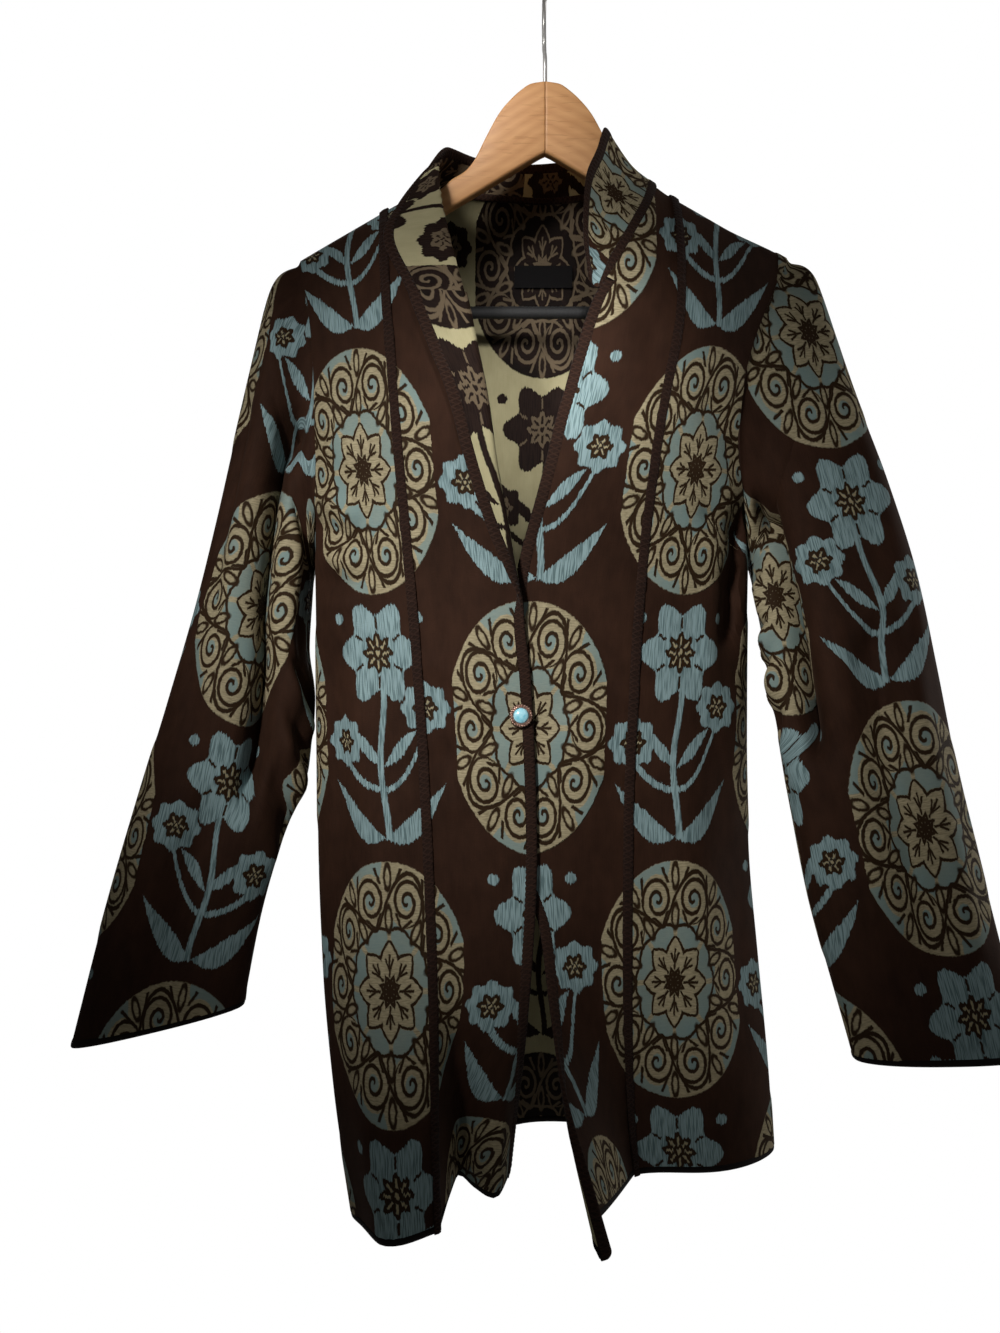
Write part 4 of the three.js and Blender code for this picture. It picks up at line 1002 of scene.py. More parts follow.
def yarns_group():
    """Fine threads and slow changes of shade, used by every woven finish."""
    entries = [("Cloth", "NodeSocketVector", None), ("Fineness", "NodeSocketFloat", 900.0)]
    tree, enter, give = new_group("yarns", entries, ["Warp", "Weft", "Height", "Mottle"])
    fine_place = scaled(tree, enter, "Cloth")
    warp = noise(tree, fine_place, 1, (1, 0.05, 1), 1)
    weft = noise(tree, fine_place, 1, (0.18, 0.9, 1), 1)
    slow = noise(tree, enter.outputs["Cloth"], 16, (1, 0.6, 1), 2)
    fine = noise(tree, enter.outputs["Cloth"], 110, (1, 0.5, 1), 2)
    give(Warp=warp, Weft=weft, Height=warp * 0.4 + weft * 0.6, Mottle=slow * 0.6 + fine * 0.4)
    return tree


def stitches_group():
    """The crossing stitches along a band or a tape."""
    tree, enter, give = new_group("stitch_rows", [("Cloth", "NodeSocketVector", None)], ["Stitch"])
    x, y, _ = split(tree, enter.outputs["Cloth"])
    length, across = x / (MM * STITCH), y / (MM * SPREAD)
    slant = abs(across.fraction() - 0.5) * 2
    rows = [abs((length + slant * lean).fraction() - 0.5).under(0.14, 0.12) for lean in (0.5, -0.5)]
    give(Stitch=rows[0].most(rows[1]))
    return tree


def spots_group():
    """Fine even spots, used by every hard finish."""
    entries = [("Place", "NodeSocketVector", None), ("Fineness", "NodeSocketFloat", 100.0)]
    tree, enter, give = new_group("fine_spots", entries, ["Spots"])
    give(Spots=noise(tree, scaled(tree, enter, "Place"), 1, (1, 1, 1), 3))
    return tree


FIGURES, YARNS, STITCHES, SPOTS = figures_group(), yarns_group(), stitches_group(), spots_group()


# ------------------------------------------------------------------ finishes
def linear(red, green, blue):
    """A colour given as it looks on a screen, from 0 to 255."""
    parts = [c / 255 for c in (red, green, blue)]
    return [c / 12.92 if c <= 0.04045 else ((c + 0.055) / 1.055) ** 2.4 for c in parts] + [1.0]


def new_material(name, **values):
    """A material, its tree and its Principled BSDF with the given sockets set."""
    material = bpy.data.materials.new(name)
    material.use_nodes = True
    tree = material.node_tree
    shader = tree.nodes["Principled BSDF"]
    for label, value in values.items():
        shader.inputs[label.replace("_", " ")].default_value = value
    return material, tree, shader


def blended(tree, first, second, factor):
    """The first colour turning into the second where the factor is 1."""
    node = tree.nodes.new("ShaderNodeMix")
    node.data_type = "RGBA"
    tree.links.new(factor.socket, node.inputs["Factor"])
    result, *entries = [s for s in (*node.outputs, *node.inputs) if s.type == "RGBA"]
    for entry, value in zip(entries, (first, second)):
        if isinstance(value, bpy.types.NodeSocket):
            tree.links.new(value, entry)
        else:
            entry.default_value = value
    return result


def scaled_range(field, low, high):
    """A field from 0 to 1 laid over another range."""
    return field.math("MULTIPLY_ADD", high - low, low)


def feed(tree, shader, colour, roughness, normal):
    """Links what varies over the surface to the shader."""
    tree.links.new(colour, shader.inputs["Base Color"])
    tree.links.new(roughness.socket, shader.inputs["Roughness"])
    tree.links.new(normal, shader.inputs["Normal"])


def bump(tree, height, distance_m, strength=1.0, under=None):
    node = tree.nodes.new("ShaderNodeBump")
    node.inputs["Distance"].default_value = distance_m
    node.inputs["Strength"].default_value = strength
    tree.links.new(height.socket, node.inputs["Height"])
    if under is not None:
        tree.links.new(under, node.inputs["Normal"])
    return node.outputs[0]


def cloth_place(tree):
    node = tree.nodes.new("ShaderNodeUVMap")
    node.uv_map = "cloth"
    return node.outputs[0]


def object_place(tree):
    return tree.nodes.new("ShaderNodeTexCoord").outputs["Object"]


def group_fields(tree, node):
    return {s.name: Field(tree, s) for s in node.outputs}


def tapestry(name, ground, medallion_colours, sprig_colours, stroke, line, relief):
    """The woven cloth. Each pair of colours runs between its dark and its light threads."""
    nap = dict(Sheen_Weight=0.05, Sheen_Roughness=0.5, Sheen_Tint=linear(190, 150, 125))
    material, tree, shader = new_material(name, Specular_IOR_Level=0.08, **nap)
    place = cloth_place(tree)
    figure = group_fields(tree, use_group(tree, FIGURES, Cloth=place))
    yarn = group_fields(tree, use_group(tree, YARNS, Cloth=place, Fineness=1050.0))
    patchy = yarn["Mottle"].over(0.5, 0.45)
    colour = blended(tree, ground[0], ground[1], patchy * 0.7 + yarn["Warp"] * 0.3)
    fill = blended(tree, medallion_colours[0], medallion_colours[1], yarn["Weft"].over(0.5, 0.5))
    fill = blended(tree, fill, medallion_colours[2], figure["Patch"] * scaled_range(patchy, 0.65, 1.0))
    colour = blended(tree, colour, fill, figure["Medallion"])
    blue = blended(tree, sprig_colours[0], sprig_colours[1], yarn["Warp"].over(0.47, 0.16))
    colour = blended(tree, colour, blue, figure["Sprig"])
    colour = blended(tree, colour, stroke, figure["Stroke"])
    colour = blended(tree, colour, line, figure["Line"])
    rough = scaled_range(figure["Medallion"].most(figure["Sprig"]), 0.8, 0.72)
    coarse = bump(tree, figure["Relief"], 0.0009 * relief)
    feed(tree, shader, colour, rough, bump(tree, yarn["Height"], 0.0004, 0.8, coarse))
    return material


def woven(name, dark, light, sheen, fineness=900.0, depth=0.0004, thread=None):
    """A plain woven trim, with stitches along it if their thread's colour is given."""
    gloss = dict(Sheen_Weight=sheen, Sheen_Roughness=0.5, Specular_IOR_Level=0.1)
    material, tree, shader = new_material(name, **gloss)
    place = cloth_place(tree)
    yarn = group_fields(tree, use_group(tree, YARNS, Cloth=place, Fineness=fineness))
    colour = blended(tree, dark, light, yarn["Height"] * 0.5 + yarn["Mottle"].over(0.5, 0.4) * 0.5)
    height = yarn["Height"]
    if thread is not None:
        stitch = group_fields(tree, use_group(tree, STITCHES, Cloth=place))["Stitch"]
        colour = blended(tree, colour, thread, stitch * scaled_range(yarn["Warp"], 0.25, 0.75))
        height = height * 0.5 + stitch
    feed(tree, shader, colour, scaled_range(yarn["Mottle"], 0.75, 0.95), bump(tree, height, depth))
    return material


face = tapestry(
    "tapestry_face",
    ground=(linear(28, 15, 8), linear(56, 35, 24)),
    medallion_colours=(linear(123, 112, 87), linear(163, 151, 121), linear(110, 130, 127)),
    sprig_colours=(linear(86, 105, 106), linear(129, 150, 151)),
    stroke=linear(150, 138, 106),
    line=linear(42, 28, 14),
    relief=1.0,
)
reverse = tapestry(
    "tapestry_reverse",
    ground=(linear(136, 128, 96), linear(168, 160, 126)),
    medallion_colours=(linear(19, 11, 8), linear(30, 19, 14), linear(15, 9, 6)),
    sprig_colours=(linear(21, 12, 9), linear(32, 21, 16)),
    stroke=linear(26, 17, 13),
    line=linear(92, 79, 62),
    relief=0.6,
)
band_cloth = woven("stitched_band", linear(23, 13, 9), linear(44, 28, 20), 0.03, thread=linear(56, 37, 28))
tape_cloth = woven("seam_tape", linear(21, 12, 8), linear(42, 26, 19), 0.03, thread=linear(52, 34, 26))
binding_cloth = woven("black_binding", linear(12, 8, 7), linear(27, 20, 18), 0.05)
label_cloth = woven("black_label", linear(8, 7, 7), linear(19, 17, 17), 0.05, 1600.0, 0.0002)
CLOTH_FINISHES = [face, reverse, tape_cloth]


def varnished_wood():
    """Pale beech under satin varnish, with the glued joint of the two arms at its middle."""
    varnish = dict(Coat_Weight=0.05, Coat_Roughness=0.4, Specular_IOR_Level=0.3)
    material, tree, shader = new_material("varnished_beech", **varnish)
    place = object_place(tree)
    bends = noise(tree, place, 9, (1, 1, 1), 2)
    x, _, z = split(tree, place)
    slope = abs(x) * 0.52 + z  # the grain runs down each arm
    rings = (slope * 95 + bends * 2.4).fraction()
    grain = abs(rings - 0.5) * 2
    fibres = noise(tree, place, 260, (0.12, 1, 0.6), 3)
    flecks = noise(tree, place, 700, (0.08, 1, 0.8), 1).over(0.66, 0.06)
    colour = blended(tree, linear(192, 134, 84), linear(224, 170, 115), grain * 0.35 + fibres * 0.65)
    colour = blended(tree, colour, linear(156, 104, 60), flecks * 0.25)
    joint = abs(x).under(0.0004, 0.0004)
    colour = blended(tree, colour, linear(110, 72, 44), joint * 0.45)
    relief = bump(tree, fibres - flecks * 0.5 - joint, 0.0002)
    feed(tree, shader, colour, scaled_range(fibres, 0.38, 0.56), relief)
    return material


def plain_finish(name, dark, light, fineness, rough, depth, **values):
    """A hard finish whose shade, gloss and surface all vary finely with the same spots."""
    material, tree, shader = new_material(name, **values)
    group = use_group(tree, SPOTS, Place=object_place(tree), Fineness=float(fineness))
    spots = group_fields(tree, group)["Spots"]
    shade = blended(tree, dark, light, spots.over(0.5, 0.4))
    feed(tree, shader, shade, scaled_range(spots, *rough), bump(tree, spots, depth))
    return material


wood = varnished_wood()
rubber = plain_finish("black_grip", linear(14, 14, 15), linear(31, 30, 29), 900, (0.6, 0.85), 0.0003)
steel = plain_finish(
    "bright_steel", linear(186, 183, 178), linear(216, 213, 208), 120, (0.3, 0.42), 0.00002, Metallic=0.45
)
copper = plain_finish(
    "worn_copper", linear(128, 92, 78), linear(206, 172, 156), 420, (0.28, 0.5), 0.0002, Metallic=0.9
)
polish = dict(Coat_Weight=0.5, Coat_Roughness=0.1)
stone = plain_finish(
    "turquoise", linear(120, 196, 214), linear(186, 232, 240), 260, (0.12, 0.3), 0.0001, **polish
)


# ------------------------------------------------------------------ the jacket
def figure_swell(place):
    """How far the padded figures stand up from the ground."""
    across, up = place[..., 0], place[..., 1]
    column = np.round(across / COLUMN)
    local = across - column * COLUMN
    raised = up + np.abs(column % 2) * REPEAT / 2
    tall = (raised - np.round(raised / REPEAT) * REPEAT) / MEDALLION_TALL
    out, inside = MEDALLION_RADIUS + PADDING_OUT, MEDALLION_RADIUS - PADDING_IN
    return PADDING * smooth(out, inside, np.hypot(local, tall))


def resampled(grid, at, stops):
    """The rows of a grid at the stops, where at tells how far along it each of its rows lies."""
    columns = [[np.interp(stops, at, grid[:, c, k]) for k in range(3)] for c in range(grid.shape[1])]
    return np.array(columns).transpose(2, 0, 1)


def refined(grid, step):
    """The same grid with its rows resampled evenly, so that they lie about a step apart."""
    at = lengths_along(grid[:, grid.shape[1] // 2])
    return resampled(grid, at, np.linspace(0, at[-1], max(3, int(at[-1] / step))))


def twisted(length, across):
    """The lean of a band's tight stitches."""
    off = np.abs(2 * across - 1)
    return STITCH_HEIGHT * np.sin(TURN * (length / STITCH + 0.5 * off)) * (1 - off**4)


def drawn_in(length, across):
    """A tape's two rows of stitches, each stitch drawn in."""
    row = bell(np.abs(2 * across - 1) - 0.62, 0.16)
    pull = 0.6 + 0.4 * np.sin(TURN * length / TAPE_STITCH)
    wander = np.sin(length * 0.21) + 0.6 * np.sin(length * 0.53 + 1)
    return TAPE_WANDER * wander - TAPE_STITCH_DEPTH * row * pull


def axis_out(grid):
    """Directions away from the upright line through the jacket."""
    return grid * np.array([1, 1, 0])


def up_the_cloth(panel):
    """The height of each point on the flat cloth: as it hangs, and over the shoulder along its curve."""
    steps = np.linalg.norm(np.diff(panel, axis=0), axis=2)
    extra = np.maximum(steps + np.diff(panel[..., 2], axis=0), 0)
    extra[OVER_SHOULDER:] = 0
    added = np.vstack([np.cumsum(extra[::-1], 0)[::-1], np.zeros((1, panel.shape[1]))])
    return panel[..., 2] - FRONT_CENTRE_Z + added


def dress_cloth(name, slot, grid, out, place, closed=False):
    """A panel of the tapestry, with its figures padded."""
    swell = figure_swell(place[:, : grid.shape[1]])
    piece = shell(name, grid, CLOTH, CLOTH_FINISHES, out, place, closed, swell)
    return finish_piece(piece, "cloth", slot)


def dress_binding(name, slot, grid):
    """The narrow binding of a hem or a cuff, on the rows of cloth that it takes."""
    piece = strip(name, refined(grid, BINDING_STEP), BINDING_THICKNESS / 2, [binding_cloth])
    return finish_piece(piece, "binding", slot)


def dress_band(name, slot, grid):
    """The stitched band of an edge."""
    return finish_piece(strip(name, grid, BAND_THICKNESS / 2, [band_cloth], twisted), "band", slot)


def front_stops(sides, centre, flat, rolled, total):
    """Where the columns of both panels lie, as lengths from the long seam."""
    shares = np.sin(np.linspace(0, np.pi / 2, 30)) ** 0.9
    side_stops = shares[None, :] * arc(sides)[:, -1:]
    joint = total - np.where(ROW_DEPTH[:, 0] > NOTCH_DEPTH, BAND_WIDTH, 0)
    end = joint - 0.2
    flat_end = np.minimum(flat, end - 2)
    rolled_end = np.minimum(rolled, end - 1)
    stops = np.concatenate([
        mix(0, flat_end[:, None], np.linspace(0, 1, 27)[None, :-1]),
        mix(flat_end[:, None], rolled_end[:, None], np.linspace(0, 1, 8)[None, :-1]),
        mix(rolled_end[:, None], end[:, None], np.linspace(0, 1, 10)[None, :]),
    ], 1)
    return side_stops, stops


def edge_band(name, centre, total):
    """The band along a front edge, with its lower corner rounded off."""
    banded = [r for r in range(NOTCH_ROW, len(centre)) if r != PANEL_ROWS - 1]
    across = np.linspace(0, BAND_WIDTH + LAP, 5)[None, :]
    grid = refined(along(centre[banded], total[banded, None] - across[:, ::-1]), BAND_STEP)
    to_end = BAND_STEP * np.arange(len(grid) - 1, -1, -1)[:, None] / BAND_WIDTH
    corner = 1 - np.sqrt(1 - np.clip(1 - to_end, 0, 1) ** 2)
    grid = along(grid, across * (1 - corner * BAND_WIDTH / (BAND_WIDTH + LAP)))
    return dress_band(f"{name}_edge_band_cloth", f"{name}_edge_band", grid)


def seam_tape(side, name, sides, centre):
    """The raised tape over a long seam."""
    half = TAPE_HALF_WIDTH * np.linspace(0, 1, 4)
    grid = np.concatenate([along(sides, half)[:, :0:-1], along(centre, half)], 1)[1:]
    bridge = smooth(BRIDGE_TOP, BRIDGE_END, grid[:, :1, 2:]) * (BRIDGE_SHARE if side > 0 else 0)
    straight = mix(grid[:, :1], grid[:, -1:], np.linspace(0, 1, 7)[None, :, None])
    grid = refined(mix(grid, straight, bridge), TAPE_STEP)
    ease = smooth(0, TAPE_EASE, TAPE_STEP * np.arange(len(grid)))
    lift = mix(TAPE_LIFT_START, TAPE_LIFT, ease)[:, None]
    tape = strip(f"{name}_seam_tape_cloth", grid, TAPE_THICKNESS / 2, [tape_cloth], drawn_in, lift)
    return finish_piece(tape, "band", f"{name}_seam_tape")


def dress_front(side, name):
    """One front: two panels, their hem bindings, the band of the edge and the tape over the seam."""
    seam_u = RIGHT_SEAM_U if side < 0 else LEFT_SEAM_U
    sides = front_side(side)
    centre, flat, rolled = front_centre(side)
    total = arc(centre)[:, -1]
    side_stops, stops = front_stops(sides, centre, flat, rolled, total)
    panels = {
        "side": (along(sides, side_stops), seam_u + side * side_stops),
        "centre": (along(centre, stops), seam_u - side * stops),
    }
    hems = {
        part: dress_binding(
            f"{name}_{part}_hem_binding", f"{name}_{part}_hem", grid[PANEL_ROWS:].transpose(1, 0, 2)
        )
        for part, (grid, _) in panels.items()
    }
    band = edge_band(name, centre, total)
    tape = seam_tape(side, name, sides, centre)
    for part, (grid, at) in panels.items():
        panel = grid[:PANEL_ROWS]
        place = np.stack([at[:PANEL_ROWS], up_the_cloth(panel)], -1)
        piece = dress_cloth(f"{name}_{part}_cloth", f"{name}_{part}", panel, axis_out(panel), place)
        declare_sheet(panel)


def dress_back():
    grid = back_panel()
    panel = grid[:PANEL_ROWS]
    lengths = arc(panel)
    centre = np.array([np.interp(0, row[:, 0], l) for row, l in zip(panel, lengths)])[:, None]
    place = np.stack([lengths - centre, up_the_cloth(panel)], -1)
    piece = dress_cloth("back_cloth", "back", panel, axis_out(panel), place)
    hem = dress_binding("back_hem_binding", "back_hem", grid[PANEL_ROWS:].transpose(1, 0, 2))
    declare_sheet(panel)


# ------------------------------------------------------------------ sleeves
def armhole_line(side, turns):
    """The edge of the body that a sleeve is set into, round from the underarm."""
    w = ARMHOLE_DEPTH * (1 - np.cos(turns)) / 2
    mid, half = middle(NECK_LEVEL)
    front_top = on_shoulder(lambda z: outer_x(z, 0, side))
    back_top = shoulder_z(mid + side * half)
    z = np.where(turns >= 0, front_top, back_top) - w
    x = outer_x(z, w, side)
    y = np.where(turns >= 0, ring_y(x, z, True), ring_y(x, z, False))
    return np.stack([x, y, z], -1)


def arm_ring(table, at, turns):
    """The ring of a sleeve at a section."""
    outer = np.array([table("outer_x", at), table("y", at), table("outer_z", at)])
    inner = np.array([table("inner_x", at), table("y", at), table("inner_z", at)])
    across = np.sign(np.cos(turns)) * np.abs(np.cos(turns)) ** SLEEVE_SQUARE
    points = (outer + inner) / 2 + (outer - inner) / 2 * across[:, None]
    points[:, 1] -= table("depth", at) * np.sign(np.sin(turns)) * np.abs(np.sin(turns)) ** SLEEVE_DEEP
    return points


def sleeve_crease(crease, degrees, sections):
    """One crease of a sleeve, down it or round it."""
    a0, d0, a1, d1, width, _ = crease
    if width > 1:
        centre = mix(a0, a1, np.clip((sections - d0) / (d1 - d0), 0, 1))
        ends = smooth(d0, d0 + 0.5, sections) * smooth(d1, d1 - 0.7, sections)
        return bell(degrees - centre, width) * ends
    centre = mix(d0, d1, np.clip((degrees - a0) / (a1 - a0), 0, 1))
    ends = smooth(a0, a0 + 15, degrees) * smooth(a1, a1 - 12, degrees)
    return bell(sections - centre, width) * ends


def sleeve_form(side, table, creases, turns):
    """The rings of a whole sleeve, from the armhole over its cap and down to the cuff."""
    armhole, first = armhole_line(side, turns), arm_ring(table, 0, turns)
    under = smooth(0.3, 1, (1 - np.cos(turns)) / 2)
    start = armhole - unit(first - armhole) * ARMHOLE_GAP * (1 - under[:, None])
    start[:, 0] += side * (CLOTH + 0.3) * under
    rings = []
    cap = np.linspace(0, 1, CAP_ROWS + 1)[:-1]
    for f in cap:
        points = mix(start, first, f)
        head = np.maximum(0, np.cos(turns)) ** 1.5 * math.sin(math.pi * f**0.8)
        points[:, 0] += side * CAP_OUT * head
        points[:, 2] += CAP_UP * head
        rings.append(points)
    last = table.keys[-1]
    arm = np.linspace(0, last, ARM_ROWS)
    grid = np.array(rings + [arm_ring(table, at, turns) for at in arm])

    at_row = np.concatenate([cap * CAP_SECTIONS - CAP_SECTIONS, arm])[:, None]
    degrees = (np.degrees(turns) % 360)[None, :]
    height = sum(crease[5] * sleeve_crease(crease, degrees, at_row) for crease in creases)
    normal = normals(grid, True)
    if np.sum(normal * (grid - grid.mean(1, keepdims=True))) < 0:
        normal = -normal
    ease = smooth(last, last - 0.8, at_row) * smooth(-CAP_SECTIONS, -0.55, at_row)
    from_seam = np.linalg.norm(grid - grid[:1], axis=2) / ARMHOLE_SINK_WIDTH
    sink = ARMHOLE_SINK * from_seam * np.exp(1 - from_seam) * (1 - under)[None, :]
    return grid + normal * (height * ease - sink)[..., None]


def sleeve_place(side, grid, sleeve, below_cap):
    """Places on the flat cloth: up the sleeve, and round it from the line down the middle of its front."""
    closed = np.concatenate([sleeve, sleeve[:, :1]], 1)
    top_centre = grid[CAP_ROWS].mean(0)
    axis = unit(grid[-1].mean(0) - top_centre)
    steps = np.diff(closed, axis=1)
    square = np.sum(steps**2, -1) - np.sum(steps * axis, -1) ** 2
    rounds = np.cumsum(np.sqrt(np.maximum(square, 0)), 1)
    round_it = np.concatenate([np.zeros((len(sleeve), 1)), rounds], 1)
    inward = np.sum((sleeve - top_centre) * [-side * abs(axis[2]), 0, -abs(axis[0])], -1)
    front, behind = slice(AROUND // 2, AROUND), slice(AROUND // 2, None, -1)
    middles = np.array([np.interp(0, i[front], r[front]) for i, r in zip(inward, round_it)])
    middles -= np.maximum(inward[:, AROUND // 2], 0)
    # the cap is measured from the line down the middle of the back as well, and the two meet over its top
    back_middles = np.array([np.interp(0, i[behind], r[behind]) for i, r in zip(inward, round_it)])
    back_middles += np.maximum(inward[:, AROUND // 2], 0)
    apart = back_middles - middles
    apart[:below_cap] = apart[below_cap]
    over_top = smooth(-CAP_OVERLAP, CAP_OVERLAP, np.linspace(-180, 180, AROUND + 1))[None, :]
    round_it -= mix((back_middles - apart)[:, None], middles[:, None], over_top)
    return np.stack([side * round_it + SLEEVE_U[side], SLEEVE_V[side] - np.sum(closed * axis, -1)], -1)


def dress_sleeve(side, name, table, creases):
    turns = np.linspace(-math.pi, math.pi, AROUND, endpoint=False)  # the cloth's own seam is at the underarm
    grid = sleeve_form(side, table, creases, turns)
    # the binding of the cuff takes the last few millimetres
    down = lengths_along(grid.mean(1))
    whole = down[-1]
    cloth_rows = np.concatenate([down[down < whole - HEM_BINDING - 3], [whole - HEM_BINDING - 0.1]])
    sleeve = resampled(grid, down, cloth_rows)
    cuff_rows = whole - np.array([HEM_BINDING + LAP, HEM_BINDING / 2, 0])
    cuff = resampled(grid, down, cuff_rows).transpose(1, 0, 2)
    cuff = np.concatenate([cuff, cuff[:1]])

    place = sleeve_place(side, grid, sleeve, int(np.argmax(cloth_rows > down[CAP_ROWS])))
    out = sleeve - sleeve.mean(1, keepdims=True)
    piece = dress_cloth(f"{name}_cloth", name, sleeve, out, place, closed=True)
    binding = dress_binding(f"{name}_cuff_binding_cloth", f"{name}_cuff_binding", cuff)
    declare_sheet(sleeve, True)


# ------------------------------------------------------------------ collar and label
def collar_rows():
    """Each row runs from the neck seam over the crest to the free edge; and how far each crest stands up."""
    f = np.linspace(0, 1, 41)[:, None]
    start, bend, end = (1 - f) ** 2, 6 * f * (1 - f), f * f
    rows, rises = [], []
    for a in np.linspace(0, COLLAR_END, COLLAR_ROWS):
        seam = np.array([COLLAR("seam_x", a), 0, COLLAR("seam_z", a)])
        if a < COLLAR_ON_RIGHT:
            seam[0] = RIGHT_EDGE("fold", seam[2])
        elif a > COLLAR_ON_LEFT:
            seam[0] = LEFT_EDGE("fold", seam[2])
        else:
            seam[2] = NECK_SEAM("z", seam[0])
        seam[1] = ring_y(seam[0], seam[2], a <= COLLAR_ON_RIGHT or a >= COLLAR_ON_LEFT)
        corners = bell(a - COLLAR_ON_RIGHT - 0.3, 0.8) + bell(a - COLLAR_ON_LEFT + 0.3, 0.8)
        seam[2] += 2 * corners
        crest = np.array([COLLAR("crest_" + k, a) for k in "xyz"])
        edge = np.array([COLLAR("edge_" + k, a) for k in "xyz"])
        rises.append(np.linalg.norm(crest - seam))
        behind = smooth(COLLAR_ON_RIGHT, 4.5, a) * smooth(COLLAR_ON_LEFT, 7.5, a)
        seam = seam + unit(crest - seam) * mix(0.3, -1.8, behind)
        rows.append((seam * start + crest * bend + edge * end) / (start + bend + end))
    rows, rises = np.array(rows), np.array(rises)
    # the lower end slides in behind the top of the turned front edge
    onward = np.linspace(COLLAR_TUCK, 0, 12)[:-1, None, None]
    tucked = rows[0] + (rows[0] - rows[7]) * onward + onward * [0, COLLAR_SINK, 0]
    return np.concatenate([tucked, rows]), np.concatenate([np.full(len(onward), rises[0]), rises])


def between(low, high, count):
    """Lengths evenly spaced between two of each row."""
    return mix(low[:, None], high[:, None], np.linspace(0, 1, count)[None, :])


def dress_collar():
    rows, rises = collar_rows()
    total = arc(rows)[:, -1]
    edge_width = np.minimum(BAND_WIDTH, 0.4 * total)
    neck_width = np.minimum(edge_width, 0.35 * rises)
    neck_grid = refined(along(rows, between(0 * total, neck_width, 5)), NECK_BAND_STEP)
    edge_grid = refined(along(rows, between(total - edge_width, total, 5)), BAND_STEP)
    bands = [
        dress_band("collar_neck_band_cloth", "collar_neck_band", neck_grid),
        dress_band("collar_edge_band_cloth", "collar_edge_band", edge_grid),
    ]
    stops = between(neck_width - 0.2, total - edge_width + 0.2, 22)
    grid = along(rows, stops)
    length = lengths_along(rows[:, 20])[:, None]
    place = np.stack(np.broadcast_arrays(length - length[-1] + COLLAR_U, stops + COLLAR_V), -1)
    out = np.zeros(grid.shape)
    out[COLLAR_BACK_ROWS, :, 1] = 1  # at the back of the neck the face looks backwards
    piece = shell("collar_cloth", grid, CLOTH, CLOTH_FINISHES, out, place)
    finish_piece(piece, "cloth", "collar")
    declare_sheet(grid)


def dress_label():
    across = LABEL_X + np.linspace(-0.5, 0.5, 25) * LABEL_WIDTH
    down = LABEL_Z - np.linspace(-0.5, 0.5, 11) * LABEL_HEIGHT
    x, z = np.meshgrid(across, down)
    sag = LABEL_SAG * np.sin(np.linspace(0, np.pi, 25))[None, :] * np.linspace(1, 0, 11)[:, None]
    grid = np.stack([x, ring_y(x, z, False) - CLOTH / 2 - LABEL_OFF - sag, z], -1)
    place = np.stack([x, z], -1)
    piece = shell("neck_label_cloth", grid, LABEL_THICKNESS, [label_cloth], np.array([0, -1, 0]), place)
    finish_piece(piece, "label", "neck_label")


# ------------------------------------------------------------------ button and hanger
def turned_rings(profile, centre, around):
    """Rings about the direction towards the viewer, from radius and height."""
    a = np.linspace(0, TURN, around, endpoint=False)
    return [
        centre + np.stack([r * np.cos(a), np.full(around, -h), r * np.sin(a)], -1) for r, h in profile
    ]


def ball(centre, radius, rings=7, around=10):
    """Points and faces of a small bead."""
    up = np.linspace(-np.pi / 2, np.pi / 2, rings + 2)[1:-1]
    return tube(turned_rings([(radius * np.cos(u), radius * np.sin(u)) for u in up], centre, around))


def merged(parts):
    """The points and faces of several parts as those of one."""
    points, faces, start = [], [], 0
    for part_points, part_faces in parts:
        points.append(part_points)
        faces += [tuple(i + start for i in corners) for corners in part_faces]
        start += len(part_points)
    return np.concatenate(points), faces


def dress_button():
    """A beaded metal rim on its base, and the domed stone in it."""
    low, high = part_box("button_rim")
    centre = np.array([(low.x + high.x) / 2, high.y, (low.z + high.z) / 2]) / MM
    height = (high.y - low.y) / MM
    r = BUTTON_RADIUS
    profile = [
        (r - 2.2, 0),
        (r - 1.2, 0.2),
        (r - 0.5, 1.0),
        (r - 0.5, 1.7),
        (r - 1.1, 2.3),
        (r - 2.0, 2.4),
        (r - 2.3, height),
        (STONE_RADIUS + 0.35, height),
        (STONE_RADIUS + 0.2, height - 0.5),
        (STONE_RADIUS + 0.2, height - 1.4),
    ]
    parts = [tube(turned_rings(profile, centre, 64))]
    out = r - BEADS_IN
    for i in range(BEADS):
        a = TURN * i / BEADS
        spot = centre + np.array([out * math.cos(a), -BEADS_UP, out * math.sin(a)])
        parts.append(ball(spot, BEAD_RADIUS))
    points, faces = merged(parts)
    rim = make_piece("button_beaded_rim", points, faces, [copper], sharp=50)
    finish_piece(rim, "button_metal", "button_rim")
    seat = centre - np.array([0, height - 1.3, 0])
    dome = [(STONE_RADIUS * math.cos(a), 0.6 + 2.8 * math.sin(a)) for a in np.linspace(0, 1.5, 12)]
    points, faces = tube(turned_rings([(STONE_RADIUS, 0), *dome], seat, 48))
    gem = make_piece("button_turquoise", points, faces, [stone], sharp=60)
    finish_piece(gem, "button_stone", "button_stone")


